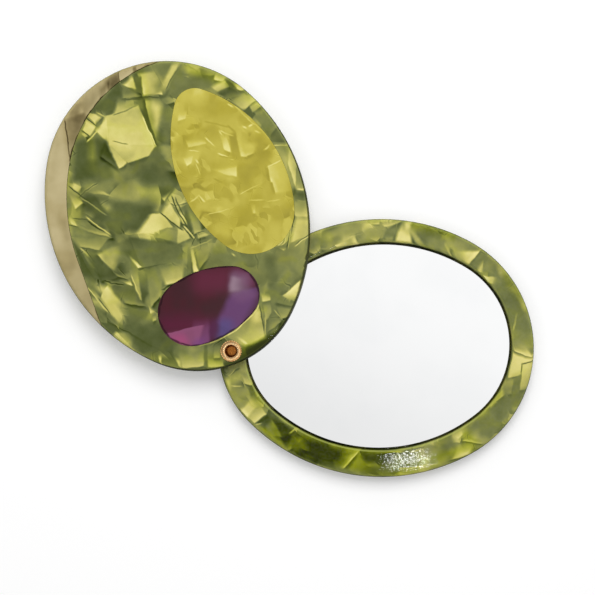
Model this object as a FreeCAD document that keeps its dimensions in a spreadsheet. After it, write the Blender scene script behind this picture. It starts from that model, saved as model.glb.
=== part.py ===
"""Swivel compact mirror: two egg-shaped acetate plates on one rolled rivet, modelled open, in millimetres.

Frame: origin at the middle of the back plate's underside, +Z up, +X along the plates' long axis away from
the rivet. The back plate, ring, glass and rivet stand still. The cover and its inlays turn about the rivet;
they are drawn about its axis as they lie when shut, and placed at the opening angle.
"""
import FreeCAD, Part
import Sketcher
import math
import os

SIZES = {
    # Egg-shaped outline of both plates: four tangent arcs, blunt end away from the rivet
    "case_length": 84.0,
    "case_width": 68.7,
    "case_widest": 40.6,
    "case_spare_radius": 5.0,
    "edge_radius": 1.0,
    "back_edge_radius": 0.8,
    # Thicknesses of the stack, from the resting face up
    "plate_thickness": 2.0,
    "ring_thickness": 2.5,
    "friction_thickness": 0.4,
    "cover_thickness": 3.0,
    "clinch_thickness": 0.3,
    "running_gap": 0.05,
    # Ring round the window: land at the far end, at the rivet end and at the sides
    "ring_far": 6.0,
    "ring_near": 7.3,
    "ring_side": 6.85,
    "window_shift": 0.45,
    "window_turn": 2.5,
    # Mirror in the window
    "glass_thickness": 1.3,
    "glass_clearance": 0.3,
    "glass_chamfer": 0.2,
    "adhesive_thickness": 0.3,
    "adhesive_margin": 1.5,
    # Rivet, washers and their holes
    "pivot_side": 0.65,
    "shank_diameter": 4.1,
    "shank_clearance": 0.05,
    "tube_wall": 0.5,
    "bore_floor": 4.2,
    "head_lip": 0.55,
    "head_thickness": 0.8,
    "head_crown": 0.2,
    "head_recess": 0.05,
    "head_clearance": 0.1,
    "roll_lip": 0.5,
    "clinch_border": 0.25,
    "notch_count": 28,
    "notch_radius": 0.13,
    "friction_lip": 0.8,
    # Inlays let into the cover's face
    "inlay_depth": 1.2,
    "inlay_clearance": 0.04,
    "crescent_clearance": 0.1,
    "crescent_end": 1.7,
    "crescent_side": 5.2,
    "crescent_turn_radius": 33.9,
    "crescent_spread": 8.7,
    "crescent_rise": 8.2,
    "large_oval_length": 48.0,
    "large_oval_width": 27.5,
    "large_oval_widest": 21.7,
    "large_oval_spare_radius": 3.8,
    "large_oval_edge": 4.0,
    "large_oval_forward": 7.0,
    "large_oval_turn": 188.6,
    "small_oval_length": 28.0,
    "small_oval_width": 18.7,
    "small_oval_widest": 12.6,
    "small_oval_spare_radius": 8.2,
    "small_oval_gap": 1.4,
    "small_oval_side": 1.25,
    "small_oval_turn": 94.0,
    # Pose in which the cover is modelled, anticlockwise from shut
    "opening_angle": 110.0,
}

# How far cutting outlines run past the plate they cut
OVERRUN = 10.0

# Rivet axis: on the middle of the land at the rivet end, a little to one side of the long axis
PIVOT_X = "-(sizes.case_length / 2 - sizes.ring_near / 2)"
PIVOT_Y = "-sizes.pivot_side"

# Levels of the stack
RING_LEVEL = "sizes.plate_thickness"
GLASS_LEVEL = "sizes.plate_thickness + sizes.adhesive_thickness"
FRICTION_LEVEL = "sizes.plate_thickness + sizes.ring_thickness"
COVER_LEVEL = FRICTION_LEVEL + " + sizes.friction_thickness + sizes.running_gap"
CLINCH_LEVEL = COVER_LEVEL + " + sizes.cover_thickness + sizes.running_gap"
ROLL_LEVEL = CLINCH_LEVEL + " + sizes.clinch_thickness"

# Roundings, each limited by the wall that carries it
TOP_ROUND = "min(sizes.edge_radius; 0.9 * sizes.inlay_depth; 0.8 * sizes.ring_thickness)"
BACK_ROUND = "min(sizes.back_edge_radius; 0.8 * sizes.plate_thickness)"
COVER_BACK_ROUND = "min(sizes.back_edge_radius; 0.8 * (sizes.cover_thickness - sizes.inlay_depth))"

HOLE_DIAMETER = "(sizes.shank_diameter + 2 * sizes.shank_clearance)"
CLINCH_RADIUS = "sizes.shank_diameter / 2 + sizes.roll_lip + sizes.clinch_border"


def oval(length, width, widest, spare_radius):
    """Sizes of an egg-shaped outline, as expressions on the sheet.

    The widest section is counted from the blunt tip. With side arcs of radius (r^2 + width^2 / 4) / width,
    where r is the longer reach from the widest section to a tip, that tip would be a sharp point. The spare
    radius is what the side arcs have above that, so the tips stay round at every length and width.
    """
    reach = f"max({widest}; {length} - ({widest}))"
    return {
        "length": length,
        "width": width,
        "widest": widest,
        "side_radius": f"(pow({reach}; 2) + pow({width}; 2) / 4) / ({width}) + {spare_radius}",
    }


CASE_OVAL = oval("sizes.case_length", "sizes.case_width", "sizes.case_widest", "sizes.case_spare_radius")
WINDOW_OVAL = oval(
    "sizes.case_length - sizes.ring_far - sizes.ring_near",
    "sizes.case_width - 2 * sizes.ring_side",
    "sizes.case_widest - sizes.ring_far",
    "sizes.case_spare_radius",
)
LARGE_OVAL = oval("sizes.large_oval_length", "sizes.large_oval_width", "sizes.large_oval_widest",
                  "sizes.large_oval_spare_radius")
SMALL_OVAL = oval("sizes.small_oval_length", "sizes.small_oval_width", "sizes.small_oval_widest",
                  "sizes.small_oval_spare_radius")

AT_CENTRE = {"x": "0", "y": "0", "turn": "0"}
WINDOW_PLACE = {
    "x": "(sizes.ring_near - sizes.ring_far) / 2",
    "y": "sizes.window_shift",
    "turn": "sizes.window_turn",
}
PIVOT_PLACE = {"x": PIVOT_X, "y": PIVOT_Y, "turn": "0"}
# Places in the cover, counted from the rivet's axis
COVER_PLACE = {"x": f"-({PIVOT_X})", "y": f"-({PIVOT_Y})", "turn": "0"}
LARGE_PLACE = {
    "x": f"-({PIVOT_X}) + sizes.large_oval_forward",
    "y": f"-({PIVOT_Y}) - (sizes.case_width / 2 - sizes.large_oval_edge - sizes.large_oval_width / 2)",
    "turn": "sizes.large_oval_turn",
}
SMALL_PLACE = {
    "x": f"{CLINCH_RADIUS} + sizes.small_oval_gap + sizes.small_oval_width / 2",
    "y": "sizes.small_oval_side",
    "turn": "sizes.small_oval_turn",
}

doc = FreeCAD.newDocument("compact_mirror")
sheet = doc.addObject("Spreadsheet::Sheet", "sizes")
for row, (alias, number) in enumerate(SIZES.items(), start=1):
    sheet.set(f"A{row}", alias)
    sheet.set(f"B{row}", str(number))
    sheet.setAlias(f"B{row}", alias)
doc.recompute()


def value(expression):
    """Number that an expression on the sheet gives."""
    return float(sheet.evalExpression(expression))


def inset(oval, gap):
    """Oval parallel to the given one and smaller by the gap all round."""
    return {
        "length": f"{oval['length']} - 2 * ({gap})",
        "width": f"{oval['width']} - 2 * ({gap})",
        "widest": f"{oval['widest']} - ({gap})",
        "side_radius": f"{oval['side_radius']} - ({gap})",
    }


def new_body(label, level="0", at_pivot=False):
    """Body at a level of the stack; a piece at the pivot stands on the rivet's axis."""
    body = doc.addObject("PartDesign::Body", label)
    body.Label = label
    body.setExpression("Placement.Base.z", level)
    if at_pivot:
        body.setExpression("Placement.Base.x", PIVOT_X)
        body.setExpression("Placement.Base.y", PIVOT_Y)
    return body


def new_cover_body(label, level):
    """Body of the cover: drawn shut about the rivet's axis and turned to the opening angle."""
    body = new_body(label, level, at_pivot=True)
    body.setExpression("Placement.Rotation.Angle", "sizes.opening_angle")
    return body


def new_sketch(body, what, place=AT_CENTRE, level="0", plane="XY_Plane"):
    """Sketch on one of the body's own origin planes, moved and turned in that plane."""
    support = next(item for item in body.Origin.OriginFeatures if item.Role == plane)
    sketch = body.newObject("Sketcher::SketchObject", f"{body.Name}_{what}")
    sketch.AttachmentSupport = [(support, "")]
    sketch.MapMode = "FlatFace"
    sketch.setExpression("AttachmentOffset.Base.x", place["x"])
    sketch.setExpression("AttachmentOffset.Base.y", place["y"])
    sketch.setExpression("AttachmentOffset.Base.z", level)
    sketch.setExpression("AttachmentOffset.Rotation.Angle", place["turn"])
    return sketch


def dimension(sketch, name, expression, *definition):
    """Dimension of a sketch, bound to an expression on the sheet."""
    number = sketch.addConstraint(Sketcher.Constraint(*definition, value(expression)))
    sketch.renameConstraint(number, name)
    sketch.setExpression(f"Constraints.{name}", expression)


def arc(centre, radius, start, end):
    """Arc of a circle, anticlockwise from one angle to another."""
    circle = Part.Circle(FreeCAD.Vector(centre[0], centre[1], 0), FreeCAD.Vector(0, 0, 1), radius)
    return Part.ArcOfCircle(circle, start, end)


def segment(start, end):
    """Straight line between two points of a sketch."""
    return Part.LineSegment(FreeCAD.Vector(*start, 0), FreeCAD.Vector(*end, 0))


def oval_sketch(body, what, oval, place=AT_CENTRE, level="0"):
    """Egg-shaped outline of four tangent arcs, blunt end towards the sketch's +X.

    The side arcs are centred on the widest section. The end arcs touch them and pass through the two tips,
    which fixes their radii: a circle through the tip, a distance d before the widest section, touches the
    side arc when its radius is (side * width - d^2 - width^2 / 4) / (2 * (side - d)).
    """
    sketch = new_sketch(body, what, place, level)
    length, width, widest, side = (value(oval[key]) for key in ("length", "width", "widest", "side_radius"))
    section_x = length / 2 - widest
    drop = side - width / 2

    def end_radius(reach):
        return (side * width - reach ** 2 - width ** 2 / 4) / (2 * (side - reach))

    blunt = end_radius(widest)
    narrow = end_radius(length - widest)
    blunt_x = length / 2 - blunt
    narrow_x = narrow - length / 2
    blunt_angle = math.atan2(drop, blunt_x - section_x)
    narrow_angle = math.atan2(drop, narrow_x - section_x)
    sketch.addGeometry([
        arc((blunt_x, 0), blunt, -blunt_angle, blunt_angle),
        arc((section_x, -drop), side, blunt_angle, narrow_angle),
        arc((narrow_x, 0), narrow, narrow_angle, 2 * math.pi - narrow_angle),
        arc((section_x, drop), side, -narrow_angle, -blunt_angle),
    ])
    blunt_tip = sketch.addGeometry(Part.Point(FreeCAD.Vector(length / 2, 0, 0)), True)
    narrow_tip = sketch.addGeometry(Part.Point(FreeCAD.Vector(-length / 2, 0, 0)), True)
    sketch.addConstraint(
        [Sketcher.Constraint("Tangent", number, 2, (number + 1) % 4, 1) for number in range(4)]
        + [Sketcher.Constraint("PointOnObject", number, 3, -1) for number in (0, 2)]
        + [Sketcher.Constraint("PointOnObject", tip, 1, -1) for tip in (blunt_tip, narrow_tip)]
        + [Sketcher.Constraint("PointOnObject", blunt_tip, 1, 0)]
        + [Sketcher.Constraint("PointOnObject", narrow_tip, 1, 2)]
        + [Sketcher.Constraint("Equal", 1, 3)]
    )
    dimension(sketch, "blunt_tip", f"({oval['length']}) / 2", "DistanceX", -1, 1, blunt_tip, 1)
    dimension(sketch, "narrow_tip", f"({oval['length']}) / 2", "DistanceX", narrow_tip, 1, -1, 1)
    dimension(sketch, "widest", oval["widest"], "DistanceX", 1, 3, blunt_tip, 1)
    dimension(sketch, "side_drop", f"({oval['side_radius']}) - ({oval['width']}) / 2",
              "DistanceY", 1, 3, -1, 1)
    dimension(sketch, "side_radius", oval["side_radius"], "Radius", 1)
    return sketch


def crescent_sketch(body, what, gap, corners, level="0"):
    """Region on one side of the crescent's inner edge, closed outside the plate through the given corners.

    The edge runs straight across the far end, turns through a small and a large tangent arc and runs straight
    along the side. The large arc's centre lies the spread behind the small one's, and its radius is larger by
    the spread and the rise. The gap moves the edge outwards. Each corner is a pair of signs in a frame round
    the plate.
    """
    sketch = new_sketch(body, what, COVER_PLACE, level)
    end_line = f"sizes.case_length / 2 - sizes.crescent_end + ({gap})"
    side_line = f"sizes.case_width / 2 - sizes.crescent_side + ({gap})"
    turn_radius = f"sizes.crescent_turn_radius + ({gap})"
    long_radius = f"{turn_radius} + sizes.crescent_spread + sizes.crescent_rise"
    frame_x = f"sizes.case_length / 2 + {OVERRUN}"
    frame_y = f"sizes.case_width / 2 + {OVERRUN}"
    turn_x = value(end_line) - value(turn_radius)
    long_centre = (turn_x - value("sizes.crescent_spread"), value(side_line) - value(long_radius))
    centre_distance = value(long_radius) - value(turn_radius)
    joint = math.acos(value("sizes.crescent_spread") / centre_distance)
    turn_y = long_centre[1] + centre_distance * math.sin(joint)

    first = (value(end_line), -value(frame_y))
    last = (-value(frame_x), value(side_line))
    sketch.addGeometry([
        segment(first, (value(end_line), turn_y)),
        arc((turn_x, turn_y), value(turn_radius), 0, joint),
        arc(long_centre, value(long_radius), joint, math.pi / 2),
        segment((long_centre[0], value(side_line)), last),
    ])
    sketch.addConstraint(
        [Sketcher.Constraint("Vertical", 0), Sketcher.Constraint("Horizontal", 3)]
        + [Sketcher.Constraint("Tangent", number, 2, number + 1, 1) for number in range(3)]
    )
    dimension(sketch, "end_line", end_line, "DistanceX", -1, 1, 0, 1)
    dimension(sketch, "side_line", side_line, "DistanceY", -1, 1, 3, 2)
    dimension(sketch, "turn_radius", turn_radius, "Radius", 1)
    dimension(sketch, "long_radius", long_radius, "Radius", 2)
    dimension(sketch, "spread", "sizes.crescent_spread", "DistanceX", 2, 3, 1, 3)

    points = [last] + [(sx * value(frame_x), sy * value(frame_y)) for sx, sy in corners] + [first]
    previous = 3
    for number, (start, end) in enumerate(zip(points, points[1:])):
        line = sketch.addGeometry(segment(start, end))
        sketch.addConstraint(Sketcher.Constraint("Coincident", previous, 2, line, 1))
        upright = number % 2 == 0
        sketch.addConstraint(Sketcher.Constraint("Vertical" if upright else "Horizontal", line))
        kind, reach, sign = ("DistanceX", frame_x, start[0]) if upright else ("DistanceY", frame_y, start[1])
        ends = (-1, 1, line, 1) if sign > 0 else (line, 1, -1, 1)
        dimension(sketch, f"frame_{number}", reach, kind, *ends)
        previous = line
    sketch.addConstraint(Sketcher.Constraint("Coincident", previous, 2, 0, 1))
    return sketch


def circle_sketch(body, what, diameters, place=AT_CENTRE, level="0"):
    """Concentric circles with the given diameters."""
    sketch = new_sketch(body, what, place, level)
    for number, diameter in enumerate(diameters):
        sketch.addGeometry(Part.Circle(FreeCAD.Vector(0, 0, 0), FreeCAD.Vector(0, 0, 1), value(diameter) / 2))
        sketch.addConstraint(Sketcher.Constraint("Coincident", number, 3, -1, 1))
        dimension(sketch, f"diameter_{number}", diameter, "Diameter", number)
    return sketch


def pad(body, sketch, thickness):
    """Plate of the sketch's outline."""
    feature = body.newObject("PartDesign::Pad", f"{sketch.Name}_pad")
    feature.Profile = sketch
    feature.setExpression("Length", thickness)
    doc.recompute()
    return feature


def pocket(body, sketch, depth=None, upwards=False):
    """Cut of the sketch's outline: to a depth or, with none given, through the body."""
    feature = body.newObject("PartDesign::Pocket", f"{sketch.Name}_pocket")
    feature.Profile = sketch
    feature.Reversed = upwards
    if depth is None:
        feature.Type = "ThroughAll"
    else:
        feature.setExpression("Length", depth)
    doc.recompute()
    return feature


def flat_face(feature, level):
    """Name of the flat face that lies level at a height of the body."""
    for number, face in enumerate(feature.Shape.Faces, start=1):
        flat = isinstance(face.Surface, Part.Plane)
        if flat and abs(face.CenterOfMass.z - level) < 1e-6 and face.BoundBox.ZLength < 1e-6:
            return f"Face{number}"
    raise ValueError(f"{feature.Name} has no flat face at {level}")


def round_face(body, feature, level, radius):
    """Rounding along every edge of the flat face at a level."""
    fillet = body.newObject("PartDesign::Fillet", f"{feature.Name}_round")
    fillet.Base = (feature, [flat_face(feature, value(level))])
    fillet.setExpression("Radius", radius)
    doc.recompute()
    return fillet


def shank_hole(body, place):
    """Hole for the rivet's shank through a plate."""
    pocket(body, circle_sketch(body, "hole", [HOLE_DIAMETER], place), upwards=True)


def back_plate():
    """Plate under the mirror, rounded below, with a counterbore that takes the rivet's head."""
    body = new_body("back_plate")
    plate = pad(body, oval_sketch(body, "outline", CASE_OVAL), "sizes.plate_thickness")
    round_face(body, plate, "0", BACK_ROUND)
    head_room = "sizes.shank_diameter + 2 * (sizes.head_lip + sizes.head_clearance)"
    pocket(body, circle_sketch(body, "counterbore", [head_room], PIVOT_PLACE),
           "sizes.head_thickness + sizes.head_recess", upwards=True)
    shank_hole(body, PIVOT_PLACE)
    return body


def frame_ring():
    """Ring on the back plate with the window for the mirror, rounded on top inside and outside."""
    body = new_body("frame_ring", RING_LEVEL)
    pad(body, oval_sketch(body, "outline", CASE_OVAL), "sizes.ring_thickness")
    ring = pocket(body, oval_sketch(body, "window", WINDOW_OVAL, WINDOW_PLACE), upwards=True)
    round_face(body, ring, "sizes.ring_thickness", TOP_ROUND)
    shank_hole(body, PIVOT_PLACE)
    return body


def mirror_adhesive():
    """Adhesive pad between the back plate and the glass."""
    body = new_body("mirror_adhesive", RING_LEVEL)
    outline = inset(WINDOW_OVAL, "sizes.glass_clearance + sizes.adhesive_margin")
    pad(body, oval_sketch(body, "outline", outline, WINDOW_PLACE), "sizes.adhesive_thickness")
    return body


def mirror_glass():
    """Mirror in the window, its upper edge ground to a small bevel."""
    body = new_body("mirror_glass", GLASS_LEVEL)
    outline = inset(WINDOW_OVAL, "sizes.glass_clearance")
    glass = pad(body, oval_sketch(body, "outline", outline, WINDOW_PLACE), "sizes.glass_thickness")
    bevel = body.newObject("PartDesign::Chamfer", "mirror_glass_bevel")
    bevel.Base = (glass, [flat_face(glass, value("sizes.glass_thickness"))])
    bevel.setExpression("Size", "min(sizes.glass_chamfer; 0.5 * sizes.glass_thickness)")
    return body


def pivot_rivet():
    """Semi-tubular rivet: crowned head in the counterbore, blind bore, rim rolled over the clinch washer."""
    body = new_body("pivot_rivet", "sizes.head_recess", at_pivot=True)
    sketch = new_sketch(body, "profile", plane="XZ_Plane")
    shank = "sizes.shank_diameter / 2"
    bore = f"{shank} - sizes.tube_wall"
    head = f"{shank} + sizes.head_lip"
    roll = f"{shank} + sizes.roll_lip"
    seat = f"{ROLL_LEVEL} - sizes.head_recess"
    floor = "sizes.bore_floor - sizes.head_recess"
    shank_x, bore_x, head_x, roll_x = (value(reach) for reach in (shank, bore, head, roll))
    crown = value("sizes.head_crown")
    head_z = value("sizes.head_thickness")
    crown_radius = (head_x ** 2 + crown ** 2) / (2 * crown)
    crown_start = -math.pi / 2
    crown_end = crown_start + math.asin(head_x / crown_radius)
    middle = (roll_x + bore_x) / 2
    sketch.addGeometry([
        arc((0, crown_radius), crown_radius, crown_start, crown_end),
        segment((head_x, crown), (head_x, head_z)),
        segment((head_x, head_z), (shank_x, head_z)),
        segment((shank_x, head_z), (shank_x, value(seat))),
        segment((shank_x, value(seat)), (roll_x, value(seat))),
        arc((middle, value(seat)), (roll_x - bore_x) / 2, 0, math.pi),
        segment((bore_x, value(seat)), (bore_x, value(floor))),
        segment((bore_x, value(floor)), (0, value(floor))),
        segment((0, value(floor)), (0, 0)),
    ])
    joints = [(0, 2, 1, 1), (1, 2, 2, 1), (2, 2, 3, 1), (3, 2, 4, 1), (4, 2, 5, 1), (6, 2, 7, 1),
              (7, 2, 8, 1), (8, 2, 0, 1)]
    sketch.addConstraint(
        [Sketcher.Constraint("Coincident", *joint) for joint in joints]
        + [Sketcher.Constraint("Tangent", 5, 2, 6, 1)]
        + [Sketcher.Constraint("Vertical", line) for line in (1, 3, 6, 8)]
        + [Sketcher.Constraint("Horizontal", line) for line in (2, 4, 7)]
        + [Sketcher.Constraint("Coincident", 0, 1, -1, 1)]
        + [Sketcher.Constraint("PointOnObject", 0, 3, -2)]
        + [Sketcher.Constraint("PointOnObject", 5, 3, 4)]
    )
    dimension(sketch, "head_radius", head, "DistanceX", -1, 1, 1, 2)
    dimension(sketch, "shank_radius", shank, "DistanceX", -1, 1, 3, 2)
    dimension(sketch, "roll_radius", roll, "DistanceX", -1, 1, 4, 2)
    dimension(sketch, "bore_radius", bore, "DistanceX", -1, 1, 6, 2)
    dimension(sketch, "crown", "sizes.head_crown", "DistanceY", -1, 1, 0, 2)
    dimension(sketch, "head_height", "sizes.head_thickness", "DistanceY", -1, 1, 1, 2)
    dimension(sketch, "seat", seat, "DistanceY", -1, 1, 3, 2)
    dimension(sketch, "floor", floor, "DistanceY", -1, 1, 6, 2)
    turned = body.newObject("PartDesign::Revolution", "pivot_rivet_turned")
    turned.Profile = sketch
    turned.ReferenceAxis = (sketch, ["V_Axis"])
    turned.Angle = 360
    return body


def washer(label, level, radius, thickness):
    """Flat washer round the rivet's shank."""
    body = new_body(label, level, at_pivot=True)
    rings = [HOLE_DIAMETER, f"2 * ({radius})"]
    pad(body, circle_sketch(body, "rings", rings), thickness)
    return body


def clinch_washer():
    """Washer under the rolled rim, with a row of small round notches in its edge."""
    body = washer("clinch_washer", CLINCH_LEVEL, CLINCH_RADIUS, "sizes.clinch_thickness")
    rim = {"x": CLINCH_RADIUS, "y": "0", "turn": "0"}
    notch = pocket(body, circle_sketch(body, "notch", ["2 * sizes.notch_radius"], rim), upwards=True)
    notches = body.newObject("PartDesign::PolarPattern", "clinch_washer_notches")
    notches.Originals = [notch]
    axis = next(item for item in body.Origin.OriginFeatures if item.Role == "Z_Axis")
    notches.Axis = (axis, [""])
    notches.Angle = 360
    notches.setExpression("Occurrences", "sizes.notch_count")
    body.Tip = notches
    return body


def cover_plate():
    """Cover with a rebate for the crescent, pockets for the two ovals and the rivet's hole."""
    body = new_cover_body("cover_plate", COVER_LEVEL)
    plate = pad(body, oval_sketch(body, "outline", CASE_OVAL, COVER_PLACE), "sizes.cover_thickness")
    plate = round_face(body, plate, "sizes.cover_thickness", TOP_ROUND)
    round_face(body, plate, "0", COVER_BACK_ROUND)
    face = "sizes.cover_thickness"
    outside = [(-1, 1), (1, 1), (1, -1)]
    pocket(body, crescent_sketch(body, "rebate", "0", outside, face), "sizes.inlay_depth")
    for name, oval, place in (("large", LARGE_OVAL, LARGE_PLACE), ("small", SMALL_OVAL, SMALL_PLACE)):
        pocket(body, oval_sketch(body, name, oval, place, face), "sizes.inlay_depth")
    shank_hole(body, AT_CENTRE)
    return body


INLAY_LEVEL = COVER_LEVEL + " + sizes.cover_thickness - sizes.inlay_depth"


def crescent_inlay():
    """Crescent with the cover's own outline and rounded edge, flush with its face."""
    body = new_cover_body("crescent_inlay", INLAY_LEVEL)
    plate = pad(body, oval_sketch(body, "outline", CASE_OVAL, COVER_PLACE), "sizes.inlay_depth")
    round_face(body, plate, "sizes.inlay_depth", TOP_ROUND)
    inside = [(-1, -1)]
    pocket(body, crescent_sketch(body, "inner_edge", "sizes.crescent_clearance", inside), upwards=True)
    return body


def oval_inlay(label, oval, place):
    """Oval piece in its pocket, flush with the cover's face."""
    body = new_cover_body(label, INLAY_LEVEL)
    outline = inset(oval, "sizes.inlay_clearance")
    pad(body, oval_sketch(body, "outline", outline, place), "sizes.inlay_depth")
    return body


bodies = [
    back_plate(),
    frame_ring(),
    mirror_adhesive(),
    mirror_glass(),
    pivot_rivet(),
    clinch_washer(),
    washer("friction_washer", FRICTION_LEVEL, "sizes.shank_diameter / 2 + sizes.friction_lip",
           "sizes.friction_thickness"),
    cover_plate(),
    crescent_inlay(),
    oval_inlay("large_oval_inlay", LARGE_OVAL, LARGE_PLACE),
    oval_inlay("small_oval_inlay", SMALL_OVAL, SMALL_PLACE),
]
doc.recompute()

for item in doc.Objects:
    if "Invalid" in item.State or "Error" in item.State:
        raise RuntimeError(f"{item.Name} failed: {item.State}")
    if item.TypeId == "PartDesign::Pocket" and item.Shape.Volume > item.BaseFeature.Shape.Volume - 1e-6:
        raise RuntimeError(f"{item.Name} cuts nothing")
for body in bodies:
    if body.Shape.isNull() or not body.Shape.isValid() or len(body.Shape.Solids) != 1:
        raise RuntimeError(f"{body.Label} is not one valid solid")

os.makedirs("parts", exist_ok=True)
for body in bodies:
    body.Shape.exportStep(f"parts/{body.Label}.step")
    box = body.Shape.BoundBox
    print(f"{body.Label}: volume {body.Shape.Volume:.1f}, z {box.ZMin:.2f} to {box.ZMax:.2f}")
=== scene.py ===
"""Looks of a swivel compact mirror: pearl acetate plates, a silvered glass and a rolled copper rivet.

Blender works in metres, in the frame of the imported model: +Z up, out of the mirror's face, and +X along the
frame's long axis away from the rivet. Patterns and profiles are written in millimetres and scaled once.
"""
import logging
import math
from dataclasses import dataclass
from enum import Enum

import bpy
import numpy as np
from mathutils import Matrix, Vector


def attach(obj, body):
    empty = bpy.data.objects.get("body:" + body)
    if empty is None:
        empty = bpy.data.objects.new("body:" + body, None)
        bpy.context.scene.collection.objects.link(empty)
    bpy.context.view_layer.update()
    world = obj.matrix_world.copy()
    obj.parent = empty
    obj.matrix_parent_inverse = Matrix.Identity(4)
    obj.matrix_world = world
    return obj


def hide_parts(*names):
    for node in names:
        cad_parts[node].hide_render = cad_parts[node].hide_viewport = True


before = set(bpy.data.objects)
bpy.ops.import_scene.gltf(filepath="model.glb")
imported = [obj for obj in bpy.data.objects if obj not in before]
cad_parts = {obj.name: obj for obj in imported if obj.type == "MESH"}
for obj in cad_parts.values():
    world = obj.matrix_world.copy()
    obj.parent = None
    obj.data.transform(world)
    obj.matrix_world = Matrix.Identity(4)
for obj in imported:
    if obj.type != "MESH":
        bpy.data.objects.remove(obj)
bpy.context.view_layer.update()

LOG = logging.getLogger("compact_mirror")
MM = 0.001
Pair = tuple[float, float]
Triple = tuple[float, float, float]
Colour = Triple
Palette = tuple[tuple[float, Colour], ...]
Socket = bpy.types.NodeSocket
Input = float | tuple[float, ...] | Socket
HALF = 0.5
HALVES = (HALF, HALF, HALF)
FLAT = (1.0, 1.0, 0.0)
WHITE = (1.0, 1.0, 1.0)


class Body(Enum):
    """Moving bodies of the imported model."""

    BASE = "mirror_base"
    COVER = "cover"


class Edge(Enum):
    """How a fold of the pearl meets its surroundings.

    The numbers are the softness of its first side, of its flanks and of its far side, in millimetres, and how
    much brighter the lip is that runs along the far side.
    """

    CRISP = (1.60, 0.60, 0.48, 0.06)
    FOLD = (4.50, 1.20, 0.40, 0.10)
    MELT = (2.80, 2.80, 2.80, 0.0)
    SMOKE = (5.50, 5.50, 5.50, 0.0)
    SLIVER = (1.20, 0.30, 1.20, 0.0)
    VEIL = (2.20, 1.10, 4.00, 0.0)


CRISP, FOLD, MELT, SMOKE, SLIVER, VEIL = Edge


@dataclass(frozen=True)
class Fold:
    """One fold of the pearl: a patch of three or four corners, in millimetres, named in turn round it.

    Its tone is the start tone along the side from the first corner to the second, and runs to the end tone at
    the corner farthest from that side.
    """

    corners: tuple[Pair, ...]
    start: float
    end: float
    edge: Edge

    def planes(self) -> tuple[list[list[float]], list[float]]:
        """Numbers that give the fold's shape and tone at a place by a product with (x, y, 1).

        A side's distance is the product of the place, counted from the side's first corner, with the side's
        unit normal, which points to the middle of the fold. It is divided by the softness of the side. The
        tone is the start plus the rise from start to end times the share of the first side's distance.

        Returns:
            The numbers of each side, and those of the tone.
        """
        points = np.array(self.corners)
        run = np.roll(points, -1, axis=0) - points
        normal = np.stack([-run[:, 1], run[:, 0]], axis=-1) / np.linalg.norm(run, axis=-1, keepdims=True)
        normal *= np.sign(((points.mean(axis=0) - points) * normal).sum(axis=-1, keepdims=True))
        sides = np.concatenate([normal, -(normal * points).sum(axis=-1, keepdims=True)], axis=-1)
        reach = (points @ sides[0, :2] + sides[0, 2]).max()
        tone = sides[0] * (self.end - self.start) / reach + np.array([0.0, 0.0, self.start])
        first, flank, far, _ = self.edge.value
        softness = np.array([first, flank, far, flank])[:len(points), None]
        return (sides / softness).tolist(), tone.tolist()


LINE_SIZES = 5


def traced(rows: tuple[tuple[Edge | float, ...], ...]) -> tuple[Fold, ...]:
    """Folds from rows of an edge, the start and end tones, and sizes in millimetres.

    Args:
        rows: The sizes are x and y of each corner in turn; of a straight line, its width and x and y of its ends.

    Returns:
        A fold for each row. A line's corners lie half its width to either side of its ends.
    """
    folds = []
    for edge, start, end, *sizes in rows:
        if len(sizes) == LINE_SIZES:
            width, *ends = sizes
            near, far = np.array(ends).reshape(2, 2)
            run = far - near
            aside = width / 2 * np.array([-run[1], run[0]]) / np.linalg.norm(run)
            corners = np.stack([near + aside, near - aside, far - aside, far + aside])
        else:
            corners = np.array(sizes).reshape(-1, 2)
        folds.append(Fold(tuple(map(tuple, corners.tolist())), start, end, edge))
    return tuple(folds)


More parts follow.
